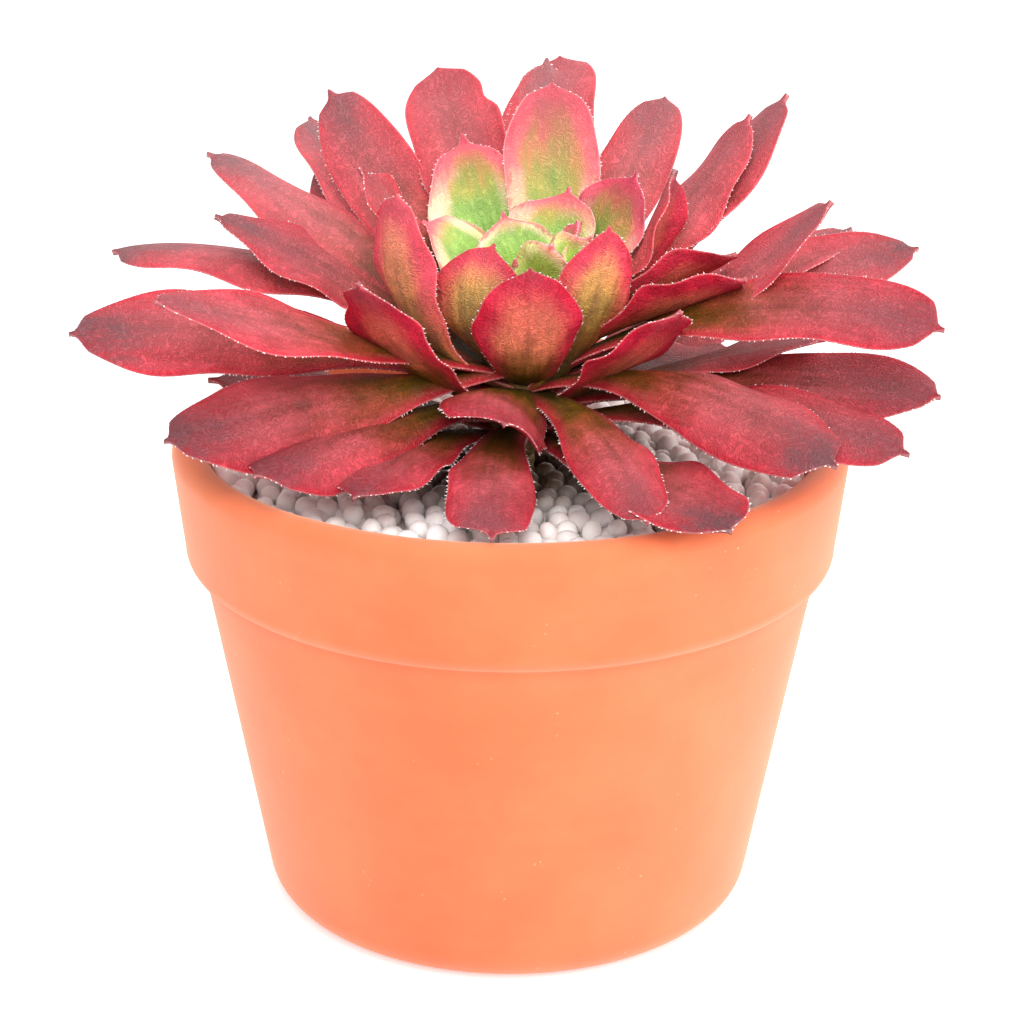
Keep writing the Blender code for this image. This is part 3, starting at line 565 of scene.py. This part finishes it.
# Leaves that stray from the rule, by age. Bearings and slopes are in degrees, lengths in
# millimetres; None, and what a short row leaves out, is as the rule has it.
strayNames = ("turn", "rise", "bend", "roll", "length", "cup", "width", "sway", "seat", "blunt", "broad")
leafStrays = {
    0: (-60, 78, 0, 4, 10, 0.26, 6.6, 0, 111),
    2: (-147, 50, 12, -25, 39, 0.35, 18.2, -9, 105, 0, 0.9),
    3: (7, 64, -13, -47, 18, 0.27, 13.9, 6, 111, -0.8, 1),
    4: (158.5, 61, 4, -6, 23.7, 0.5, 18.5, -6, 108.8, -0.1, 0.7),
    5: (-90, 72, 0, None, 10),
    6: (58, 71, -16, -70, 18, 0.36, 11.6, -6, 110, 0, 0.5),
    7: (-133, 66, -8, -8, 16.5, 0.1, 17.2, -11, 112, -0.8, 0.7),
    8: (-47, 40, 85, 44, 27, 0.44, 17.3, -10, 100, -0.4, 0.5),
    9: (111, 63, -4, 23, 31, 0.09, 17.2, -4, 107, 0.1, 0.3),
    10: (-114, 59, -27, -21, 25, 0.02, 15.6, 28, 108, 0, 0.1),
    11: (45, 47, 35, -21, 36, 0.2, 14.8, -5, 98, -0.4, 0.5),
    12: (167, 61, 7, 7, 46, 0.3, 17, 14, 105, 0.6),
    13: (-66, 21, 82, 12, 45, 0.2, 15.2, 10, 98, 0.4, 0.1),
    14: (86, 30, -6, -29, 35, 0.25, 17.5),
    15: (-155, 45, 4, -28, 56, 0.25, 17.3, -1, 105, 0.9),
    16: (-1, 24.5, 71, 4.5, 30, 0.25, 18.6, 8, 99.5, -0.05, 0.6),
    17: (121, 33, 20, 1, 55, -0.25, 15.9, -5, 104, 0, 0.3),
    18: (-93, 43, 17, -10, 41, 0.1, 17.8, 5, None, 0.9),
    19: (70, 29, -6, -24, 38, 0.21, 17.5),
    20: (174, 54, -24, -12, 64, 0.13, 17.2, 0, 103, 1.2),
    21: (-47, 21, 41, 7, 45, 0, 17.5, 2, 94, 0.5),
    22: (85, 21, 30, 15, 60, 0.08, 17.7, -8, 98, 0.5),
    23: (-133, 34, 8, -54, 64, 0.09, 15.5, -9, 102, 0.4),
    24: (45, 28, 18, -5, 41, 0.04, 17.5, 0, 94),
    25: (145, 42, 5, 3, 57, 0.1, 15.2, 3, 101, 0.8),
    26: (-59, 18, 2, -19, 71, 0.04, 18, 2, 100),
    27: (69, 35, -44, 27, 74, 0.06, 17.7, -4, 100, 0.8),
    28: (-141, 32, -9, 12, 73, -0.2, 19.2, -4, 99, 0.5),
    29: (-14, 20, -24, -22, 32, -0.5, 19, 20, 97, 1, 0.8),
    30: (119, 34, 17, -6, 67, 0, 17.5, 1, 99, 0.4),
    31: (-100, 35, -11, -16, 58, 0.01, 17.1, 13, 98, 0, 0.3),
    32: (45, 24, -48, 19, 66, -0.35, 18, 5, 98, 1.1),
    34: (-53, 2, -6, -39, 68, -0.3, 17.5, -6, 101, 0.3),
    35: (102, 27, -20, 26, 72, 0.17, 17.5, 2),
    36: (-114, 47, -28, -9, 69, -0.25, 17, 5, 96),
    37: (23, 13, -36, 4, 56, -0.28, 14, -8, 96.5, 0.3),
    38: (110, 23, -1, 6, 64, 0.1),
    39: (-80, 25, -29, -36, 77, -0.15, 18.2, 0, 96, 0.5),
    40: (73, 16, -16, 22, 72, 0, 18.9, -9, 94, 0.4),
    42: (-46, 8, -17, -14, 57, -0.46, 15.2, 0, 95, 1.2),
    43: (103, 23, -29, 2, 38, 0.06, 0, -6, None, 1.2),
    44: (-102, 47, -59, 1, 78, -0.3, 17.6, 0, 94, 0.6),
    45: (31, 2, 2, 6, 67, 0.12, 20, -6, 89.7, 0.4, 0.1),
    46: (163, 18, None, None, 60),
    47: (-58, 14, -20, -10, 50),
    48: (83, 27, -17, -4, 52, -0.05, 17.5),
    50: (-9, 14, -29, -9, 54, -0.2, 14.8, 11, 90, 1),
    51: (132, 16, 0, None, 52),
    52: (-89, 17, -16, -5, 51),
    53: (58, 23, -33, 18, 73, -0.05, 18.5, 0, 90, 0.4),
    54: (183, 12, None, None, 60),
    55: (-38, 20, -35, -5, 46, 0, 17, 12, None, 0.2),
    56: (97, 43, 31, -24, 39, -0.4, 16.8, -4, 103, 0.3, 0.1),
}

# What one leaf has and its neighbours lack. A notch is (side, along, depth, half length); gold is how far the
# dark seat, olive with painted shade, spreads, band how far the flanks push in on the centre, ripe how red it
# is, the painted light and shade how much brighter or darker the leaf is painted, and point how long its tip
# is.
leafTraits = {
    0: dict(ripe=-0.2),
    1: dict(ripe=-0.2),
    2: dict(ripe=-0.21, point=2.2),
    3: dict(ripe=-0.3, paintedLightShade=1.2, point=1.2),
    4: dict(ripe=-0.24),
    5: dict(ripe=-0.2),
    6: dict(ripe=-0.26, paintedLightShade=1.2),
    7: dict(ripe=-0.3, band=-0.15),
    8: dict(ripe=-0.33, band=-0.06, paintedLightShade=1.15, point=1.0),
    9: dict(ripe=-0.08, paintedLightShade=0.95),
    10: dict(ripe=-0.3),
    11: dict(ripe=-0.3, band=-0.05, paintedLightShade=1.1, point=1.0),
    12: dict(ripe=-0.04, point=0.6),
    13: dict(ripe=-0.2, paintedLightShade=1.2, point=0.6),
    14: dict(ripe=0.0),
    15: dict(notches=((-1, 0.84, 0.16, 0.035),), point=0.2),
    16: dict(ripe=0.1, gold=-0.15, band=-0.12, point=0.6),
    18: dict(ripe=0.0),
    20: dict(notches=((1, 0.97, 0.2, 0.03),), point=0.4),
    21: dict(notches=((-1, 0.86, 0.2, 0.04), (1, 0.72, 0.1, 0.05)), ripe=0.1),
    25: dict(point=0.4),
}


def leafPlan(age):
    # young leaves are short, broad and steep; old ones are long and spread out
    rule = leafRule
    turn = rule["firstTurn"] + rule["goldenTurn"] * age
    spread = min(1.0, age / rule["spreadBy"])
    front, side = math.cos(math.radians(turn)), math.sin(math.radians(turn))
    draw = random.Random(400 + age)

    def grown(name, amount):
        start, change = rule[name]
        return start + change * amount

    plan = dict(
        age=age, turn=turn, sway=0.0, width=0.0, blunt=0.0, band=0.0, notches=(),
        length=grown("length", 1.0 - math.exp(-age / rule["lengthAge"])),
        seat=grown("seat", age / (rule["count"] - 1)),
        rise=grown("rise", age) + rule["frontRise"] * front * spread,
        bend=grown("bend", spread * (0.5 + 0.5 * front)), roll=rule["sideRoll"] * side * spread,
        cup=grown("cup", spread), wave=grown("wave", spread), broad=max(0.0, 1.0 - age / rule["broadUntil"]),
        # painted light and shade: darker for spread leaves that face the front, lighter for those behind and
        # at the sides
        paintedLightShade=grown("paintedLightShade", spread * (front + max(front, 0.0))),
        waves=draw.uniform(2.2, 3.6), phase=draw.uniform(0.0, 6.28), ripe=draw.uniform(0.1, 0.3),
        dry=draw.uniform(0.55, 1.0) * spread, own=draw.random(),
    )
    if age >= rule["heart"]:
        plan["point"] = draw.uniform(0.9, 2.0)
    else:
        plan["point"] = 0.5 if age in (0, 1, 5) else 1.2
    plan["gold"] = draw.uniform(-0.06, 0.06) if age > rule["heart"] else 0.0
    strays = zip(strayNames, leafStrays.get(age, ()))
    plan.update((name, value) for name, value in strays if value is not None)
    plan.update(leafTraits.get(age, {}))
    if not plan["width"]:
        plan["width"] = min(rule["width"], grown("narrow", plan["length"]))
    return plan


def crownAxis(z):
    # the crown leans to the right as it rises
    return np.interp(z, leafRule["crownLeanZ"], leafRule["crownLean"]), 0.0


def leafHeading(plan, along):
    slope = np.radians(plan["rise"] + plan["bend"] * along)
    bearing = np.radians(plan["turn"] + plan["sway"] * along)
    flat = np.cos(slope)
    return np.stack([flat * np.sin(bearing), -flat * np.cos(bearing), np.sin(slope)], -1)


def leafHalfWidth(plan, along):
    # a stalk that widens to a spoon and closes in a shoulder with a short point
    rule, half, broad, point = leafRule, plan["width"] / 2.0, plan["broad"], plan["point"]
    stalk = rule["stalk"] + (rule["broadStalk"] * half - rule["stalk"]) * broad
    widest = rule["widestAt"] - 0.12 * broad
    opening = np.sin(0.5 * np.pi * np.clip(along / widest, 0.0, 1.0) ** (1.6 - 0.6 * broad)) ** 2
    closing = np.clip((along - widest) / (1.0 - widest), 0.0, 1.0)
    shoulder = half * (1.0 - closing ** (2.3 + plan["blunt"])) ** (0.8 - 0.25 * plan["blunt"])
    toTip = (1.0 - along) * plan["length"]
    spike = rule["tipHalf"] + rule["pointSlope"] * np.minimum(toTip, point)
    spike = spike + rule["pointFlare"] * np.maximum(toTip - point, 0.0)
    return np.minimum(np.where(along < widest, stalk + (half - stalk) * opening, shoulder), spike)


def leafSurface(plan, along, across):
    # points and unit normals of the leaf's middle surface, in millimetres, and its half width
    fine = np.linspace(0.0, 1.0, leafRule["strides"] + 1)
    strides = leafHeading(plan, 0.5 * (fine[:-1] + fine[1:])) * plan["length"] / leafRule["strides"]
    bearing = math.radians(plan["turn"])
    x0, y0 = crownAxis(plan["seat"])
    reach = np.interp(plan["seat"], leafRule["seatRadiusZ"], leafRule["seatRadius"])
    seat = np.array([x0 + reach * math.sin(bearing), y0 - reach * math.cos(bearing), plan["seat"]])
    spine = np.vstack([seat, seat + np.cumsum(strides, 0)])
    heading = leafHeading(plan, np.clip(along, 0.0, 1.0))
    middle = np.stack([np.interp(along, fine, spine[:, axis]) for axis in range(3)], -1)
    middle += heading * np.minimum(along, 0.0)[:, None] * plan["length"]
    bearings = np.radians(plan["turn"] + plan["sway"] * along)
    level = np.stack([np.cos(bearings), np.sin(bearings), np.zeros_like(along)], -1)
    upright = np.cross(heading, level)
    turning = np.sin(0.5 * np.pi * np.clip(along / leafRule["fullRollAt"], 0.0, 1.0)) ** 2
    roll = np.radians(plan["roll"] * turning)[:, None]
    beside = level * np.cos(roll) + np.cross(heading, level) * np.sin(roll)
    above = upright * np.cos(roll) + np.cross(heading, upright) * np.sin(roll)
    half = leafHalfWidth(plan, along)[:, None] * np.ones_like(across)[None, :]
    # the margin wanders in and out, and has its notches
    grown = np.clip((along - 0.25) / 0.3, 0.0, 1.0)[:, None]
    for sign in (-1.0, 1.0):
        wander = 1.0 + leafRule["wander"] * grown * np.sin(along * 19.0 + plan["phase"] + 2.1 * sign)[:, None]
        for side, at, depth, length in plan["notches"]:
            if side == sign:
                wander = wander - depth * np.exp(-((along - at) / length) ** 2)[:, None]
        half = np.where(np.sign(across)[None, :] == sign, half * wander, half)
    lift = plan["cup"] * half * half / (plan["width"] / 2.0)
    ripple = plan["wave"] * grown * np.clip(half / (plan["width"] / 2.0), 0.0, 1.0)
    swing = 2.0 * np.pi * plan["waves"] * along[:, None] + plan["phase"] + 1.3 * np.sign(across)[None, :]
    rise = lift * across ** 2 + ripple * np.sin(swing) * np.abs(across)[None, :] ** 2.5
    points = middle[:, None] + beside[:, None] * (half * across)[:, :, None]
    points = points + above[:, None] * rise[:, :, None]
    stepAlong = np.gradient(points, axis=0)
    stepAcross = np.gradient(points, axis=1)
    normals = np.cross(stepAcross, stepAlong)
    size = np.linalg.norm(normals, axis=2, keepdims=True)
    fallback = above[:, None] * np.ones_like(normals)
    normals = np.where(size > 1e-9, normals / np.maximum(size, 1e-9), fallback)
    turned = np.sum(normals * above[:, None], 2, keepdims=True) < 0.0
    normals = np.where(turned, -normals, normals)
    return points, normals, half


def leafShell(plan):
    # One closed leaf: rings of points round its section, from the root to the tip. Gives points,
    # faces, per-point values for the material, and the margin's points with their outward ways.
    rows, count = leafRule["rows"], leafRule["columns"]
    steps = np.linspace(0.0, 1.0, rows)
    along = 1.0 - (1.0 - steps) ** 1.6
    rootShare = leafRule["rootDepth"] / plan["length"]
    along = along * (0.996 + rootShare) - rootShare
    across = np.sin(0.5 * np.pi * np.linspace(-1.0, 1.0, count))
    points, normals, half = leafSurface(plan, along, across)
    thin, keel = leafRule["marginThickness"], leafRule["keelThickness"]
    thinning = 1.0 - leafRule["tipThinning"] * np.clip(along, 0.0, 1.0)
    thick = ((thin + (keel - thin) * (1.0 - np.abs(across) ** 1.8)) * thinning[:, None])[:, :, None]
    # the upper face lies a little nearer the middle surface, and has a groove over the midrib
    groove = leafRule["groove"] * np.exp(-(across / 0.16) ** 2)[None, :, None]
    groove = groove * (1.0 - 0.5 * np.clip(along, 0, 1))[:, None, None]
    top = points + normals * (thick * 0.45 - groove * np.clip(thick, 0.0, 1.0))
    low = points - normals * thick * 0.55
    edges, margins = [], []
    for edge, inner in ((0, 1), (-1, -2)):
        inwards = points[:, inner] - points[:, edge]
        unit = inwards / np.maximum(np.linalg.norm(inwards, axis=1, keepdims=True), 1e-6)
        edges.append(points[:, edge] - unit * thick[:, edge] * leafRule["bulge"])
        margins.append((edges[-1][along > 0.1], (edges[-1] - points[:, inner])[along > 0.1]))
    ring = np.concatenate([top, edges[1][:, None], low[:, ::-1], edges[0][:, None]], 1)
    size = ring.shape[1]
    acrossRing = np.concatenate([across, [1.0], across[::-1], [-1.0]])
    upperRing = np.concatenate([np.ones(count), [0.5], np.zeros(count), [0.5]])
    halfRing = np.concatenate([half, half[:, -1:], half[:, ::-1], half[:, :1]], 1)
    alongAll = np.repeat(along, size)
    acrossAll = np.tile(acrossRing, rows)
    halfAll = halfRing.reshape(-1)
    spine = points[:, count // 2]
    vertices = np.vstack([ring.reshape(-1, 3), spine[-1] + (spine[-1] - spine[-2]) * 0.6, spine[0]])
    fullHalf = plan["width"] / 2.0
    toTip = (1.0 - alongAll) * plan["length"]
    inset = np.minimum(halfAll * (1.0 - np.abs(acrossAll)), toTip * 0.75) / fullHalf
    place = np.stack([alongAll, np.tile(upperRing, rows), np.clip(inset, 0.0, 1.0)], 1)
    place = np.vstack([place, [1.0, 0.5, 0.0], [0.0, 0.5, 0.5]])
    shift = plan["age"] * 0.37
    uv = np.stack([acrossAll * halfAll * mm + shift, alongAll * plan["length"] * mm + shift], 1)
    uv = np.vstack([uv, [shift, plan["length"] * mm + shift], [shift, shift]])
    last, after = (rows - 1) * size, [(k + 1) % size for k in range(size)]
    faces = [(row + k, row + after[k], row + after[k] + size, row + k + size)
             for row in range(0, last, size) for k in range(size)]
    for k in range(size):
        faces += [(last + k, last + after[k], last + size), (after[k], k, last + size + 1)]
    return vertices, faces, place, uv, margins


def fuseShells(name, plans, material):
    # several leaf shells in one mesh, with their values as attributes
    points, faces, coords, margins, start = [], [], [], [], 0
    values = {label: [] for label in leafValues}
    for plan in plans:
        vertices, ownFaces, place, uv, edges = leafShell(plan)
        points.append(vertices)
        faces += [tuple(start + v for v in face) for face in ownFaces]
        coords.append(uv)
        margins += edges
        values["leafPlace"].append(place)
        for label in ("leafTone", "leafBase"):
            values[label].append(np.tile([plan[key] for key in leafValues[label]], (len(vertices), 1)))
        start += len(vertices)
    piece = makeMesh(name, np.vstack(points) * mm, faces, material)
    mesh = piece.data
    for label in leafValues:
        attribute = mesh.attributes.new(label, "FLOAT_VECTOR", "POINT")
        attribute.data.foreach_set("vector", np.vstack(values[label]).astype(np.float32).reshape(-1))
    layer = mesh.uv_layers.new(name="leafUV")
    corners = np.zeros(len(mesh.loops), np.int32)
    mesh.loops.foreach_get("vertex_index", corners)
    layer.data.foreach_set("uv", np.vstack(coords)[corners].astype(np.float32).reshape(-1))
    return piece, margins


def ciliaTree(material):
    # one small tooth at each point, leaning the way that the point says
    tree, given = openTree("marginCilia", (
        ("Spots", "Geometry"), ("Length", "Float"), ("Radius", "Float"), ("Seed", "Int")), "Cilia")
    tooth = addNode(tree, "GeometryNodeMeshCone", {
        "Vertices": 4, "Radius Top": 0.0, "Radius Bottom": given["Radius"], "Depth": given["Length"]},
        fill_type="NONE")
    way = addNode(tree, "GeometryNodeInputNamedAttribute", {"Name": "outward"}, data_type="FLOAT_VECTOR")
    jitter, size = (
        addNode(tree, "FunctionNodeRandomValue", {"Min": low, "Max": high, "Seed": given["Seed"]},
                data_type="FLOAT_VECTOR")
        for low, high in (((-0.35, -0.35, -0.35), (0.35, 0.35, 0.35)), ((0.7, 0.7, 0.5), (1.2, 1.2, 1.3))))
    leaning = addNode(tree, "ShaderNodeVectorMath", {0: way, 1: jitter}, operation="ADD")
    turn = addNode(tree, "FunctionNodeAlignRotationToVector", {"Vector": leaning}, axis="Z")
    placed = addNode(tree, "GeometryNodeInstanceOnPoints", {
        "Points": given["Spots"], "Instance": tooth, "Rotation": turn, "Scale": size})
    real = addNode(tree, "GeometryNodeRealizeInstances", {"Geometry": placed})
    finished = addNode(tree, "GeometryNodeSetMaterial", {"Geometry": real, "Material": material})
    addNode(tree, "NodeGroupOutput", {"Cilia": finished})
    return tree


def growCilia(name, margins, tree, slotName, seed):
    # teeth along the margins at uneven steps, some of them missing
    rule, draw = leafRule, np.random.default_rng(seed)
    spots, ways = [], []
    for edge, out in margins:
        travelled = np.concatenate([[0.0], np.cumsum(np.linalg.norm(np.diff(edge, axis=0), axis=1))])
        marks = np.arange(0.3, travelled[-1], rule["toothSpacing"])
        marks = (marks + draw.uniform(-0.4, 0.4, len(marks)))[draw.random(len(marks)) < rule["toothShare"]]
        unit = out / np.maximum(np.linalg.norm(out, axis=1, keepdims=True), 1e-6)
        for found, values in ((spots, edge), (ways, unit)):
            found.append(np.stack([np.interp(marks, travelled, values[:, axis]) for axis in range(3)], 1))
    mesh = bpy.data.meshes.new(name)
    mesh.from_pydata([tuple(p) for p in np.vstack(spots) * mm], [], [])
    attribute = mesh.attributes.new("outward", "FLOAT_VECTOR", "POINT")
    attribute.data.foreach_set("vector", np.vstack(ways).astype(np.float32).reshape(-1))
    piece = bpy.data.objects.new(name, mesh)
    scene.collection.objects.link(piece)
    bakeNodes(piece, tree, {
        "Length": rule["toothLength"] * mm, "Radius": rule["toothRadius"] * mm, "Seed": seed})
    carry(piece, slotName)


# Colours over ripeness for the middle and the flanks of the upper and the under face, over the
# length for the seat; the ends of the centre band and of the seat; then shares and tints.
redLook = dict(
    centre=[(0.06, "#5E5A14"), (0.25, "#845424"), (0.38, "#984432"), (0.5, "#A6423E"), (0.7, "#B04C50"),
            (1.0, "#9C4048")],
    flank=[(0.06, "#8A6A20"), (0.25, "#AC4C30"), (0.42, "#B43A3E"), (0.7, "#BA3E46"), (1.0, "#AC3642")],
    underCentre=[(0.06, "#5C7A14"), (0.25, "#86942C"), (0.4, "#AA9C44"), (0.49, "#C89850"), (0.58, "#DA845A"),
                 (0.7, "#D8705A"), (0.88, "#C84E48"), (1.0, "#B52836")],
    underFlank=[(0.06, "#84861A"), (0.18, "#D8A030"), (0.32, "#F09C50"), (0.42, "#EE7464"), (0.54, "#D43850"),
                (0.7, "#C82440"), (1.0, "#B91636")],
    centreEnds=(0.25, 0.75),
    # the seat darkens to near black at the root: the olive leaf base with painted shade of the crowded crown
    seat=[(0.0, "#26240A"), (0.12, "#42380A"), (0.3, "#66480E"), (0.5, "#803E14"), (0.7, "#963A28")],
    seatEnds=(0.3, 0.74), seatShare=1.0, uneven=0.34,
    midrib="#66302A", midribShare=0.42, margin="#C61430", marginWidth=0.2, marginShare=0.62,
    dryTip="#5C3A3E", rim="#F0C8C4", rimShare=0.16, rough=0.48, flesh=0.06, fleshRadius=(1.0, 0.3, 0.2),
    # the pale tint is a painted sheen over the leaves that are painted brighter
    gloss=0.22, wrinkle=0.19, paintedSheen="#E6BEBC", paintedSheenShare=0.2,
)
greenLook = dict(
    centre=[(0.06, "#6CA012"), (0.3, "#84B03C"), (0.5, "#92B85E"), (0.58, "#A0A452"), (0.66, "#AA844E"),
            (0.74, "#B25E50"), (0.86, "#A84A50"), (1.0, "#9E3E46")],
    flank=[(0.06, "#9EBC34"), (0.22, "#C6D66C"), (0.42, "#E6E6A6"), (0.51, "#F2DCB2"), (0.58, "#EEA892"),
           (0.64, "#DE6A74"), (0.76, "#D0485C"), (0.92, "#C2364E")],
    underCentre=[(0.06, "#74A818"), (0.4, "#90BC3C"), (0.58, "#A4C454"), (0.66, "#AA905C"), (0.8, "#A65D4E")],
    underFlank=[(0.06, "#98C034"), (0.38, "#CCDC7C"), (0.54, "#E4E8A0"), (0.62, "#E4B68A"), (0.7, "#DC6A70"),
                (0.9, "#BB364E")],
    centreEnds=(0.2, 0.52),
    seat=[(0.0, "#4E7A1E"), (0.3, "#7AA42E"), (0.6, "#A8C060")],
    seatEnds=(0.05, 0.4), seatShare=0.7, uneven=0.46,
    midrib="#5C8A40", midribShare=0.2, margin="#D2385A", marginWidth=0.1, marginShare=0.6,
    dryTip="#7A2A40", rim="#F8E0DC", rimShare=0.22, rough=0.46, flesh=0.15, fleshRadius=(0.9, 0.8, 0.3),
    # the pale tint is a painted sheen over the heart leaves that are painted brighter
    gloss=0.2, wrinkle=0.09, paintedSheen="#F2F2C0", paintedSheenShare=0.12,
)

print("leaves")
allPlans = [leafPlan(age) for age in range(leafRule["count"])]
greenPlans = [plan for plan in allPlans[:leafRule["heart"]] if plan["age"] not in leafRule["reddened"]]
redPlans = [plan for plan in allPlans if plan not in greenPlans]
rosette, redMargins = fuseShells("rosette_leaves", redPlans, leafMaterial("red_leaf_skin", redLook))
carry(rosette, "red_leaf", "rosette")
heart, greenMargins = fuseShells("heart_leaves", greenPlans, leafMaterial("green_leaf_skin", greenLook))
carry(heart, "green_leaf", "heart")
cilia = ciliaTree(toothMaterial())
growCilia("rosette_cilia", redMargins, cilia, "red_leaf", 3)
growCilia("heart_cilia", greenMargins, cilia, "green_leaf", 4)

stemLook = dict(
    footZ=46.0, topZ=84.6, radius=4.4, scarDepth=0.35, scarStep=2.1, rowsInStep=6, sides=40,
    crown=[(0.0, 84.4), (4.2, 84.5), (5.2, 87.5), (5.4, 90.0), (5.4, 103.0), (4.6, 107.0), (2.6, 112.0),
           (0.0, 113.0)],
)


def buildStem(material):
    # a stem ringed by leaf scars, and the crown that the leaves grow from
    look = stemLook
    profile = [(0.0, look["footZ"])]
    z = look["footZ"]
    while z < look["topZ"] - 0.1:
        scar = look["scarDepth"] * abs(math.sin(math.pi * z / look["scarStep"]))
        profile.append((look["radius"] - look["scarDepth"] + scar, z))
        z += look["scarStep"] / look["rowsInStep"]
    profile.append((0.0, look["topZ"]))
    carry(turnedMesh("stem_bark", profile, look["sides"], material), "stem_bark", "stem")
    carry(turnedMesh("crown", look["crown"], look["sides"], material, crownAxis), "stem_bark")


print("stem")
buildStem(barkMaterial())

studio = dict(
    floor="#DCDCDC", floorGlow=0.45, floorReach=6.0, sky=0.8,
    cameraPlace=(0.0, -0.4787, 0.2518), cameraTilt=69.474, cameraRoll=0.37,
    sensor=36.0, lens=98.99, lensShift=0.00176, clipStart=0.01, lampAim=(0.0, 0.0, 0.08),
    lamps=(("front", (0.0, -0.9, 0.85), 12.0, 0.7), ("top", (0.1, 0.1, 1.15), 5.0, 0.9),
           ("back", (0.3, 0.8, 0.6), 2.5, 0.8), ("side", (0.95, -0.3, 0.4), 7.0, 0.6)),
)


def buildStudio():
    # a lit white table under a pale sky, with soft lamps in front, above, behind and at one side
    look = studio
    white = (1.0, 1.0, 1.0, 1.0)
    material = newMaterial("white_paper_floor", {
        "Base Color": linear(look["floor"]), "Roughness": 0.9, "Specular IOR Level": 0.1,
        "Emission Color": white, "Emission Strength": look["floorGlow"]})[0]
    far = look["floorReach"]
    corners = [(-far, -far, 0.0), (far, -far, 0.0), (far, far, 0.0), (-far, far, 0.0)]
    floor = makeMesh("floor", corners, [(0, 1, 2, 3)], material)
    # the camera sees the sky as plain white, and the object is lit by a dimmer one
    world = bpy.data.worlds.new("studioSky")
    world.use_nodes = True
    sky = world.node_tree
    behind = addNode(sky, "ShaderNodeLightPath").outputs["Is Camera Ray"]
    background = sky.nodes["Background"]
    background.inputs["Color"].default_value = white
    addNode(sky, "ShaderNodeMapRange", {"Value": behind, "To Min": look["sky"], "To Max": 1.0},
            background.inputs["Strength"])
    scene.world = world
    for name, place, power, size in look["lamps"]:
        lamp = bpy.data.lights.new(name, "AREA")
        lamp.energy, lamp.size = power, size
        holder = bpy.data.objects.new(name, lamp)
        holder.location = place
        aim = Vector(look["lampAim"]) - Vector(place)
        holder.rotation_euler = aim.to_track_quat("-Z", "Y").to_euler()
        scene.collection.objects.link(holder)
    lens = bpy.data.cameras.new("studioCamera")
    lens.sensor_width, lens.lens = look["sensor"], look["lens"]
    lens.shift_x, lens.clip_start = look["lensShift"], look["clipStart"]
    camera = bpy.data.objects.new("studioCamera", lens)
    camera.location = look["cameraPlace"]
    tilt = Matrix.Rotation(math.radians(look["cameraTilt"]), 3, "X")
    roll = Matrix.Rotation(math.radians(look["cameraRoll"]), 3, "Z")
    camera.rotation_euler = (tilt @ roll).to_euler()
    scene.collection.objects.link(camera)
    scene.camera = camera
    scene.view_settings.view_transform = "Standard"


print("studio")
buildStudio()
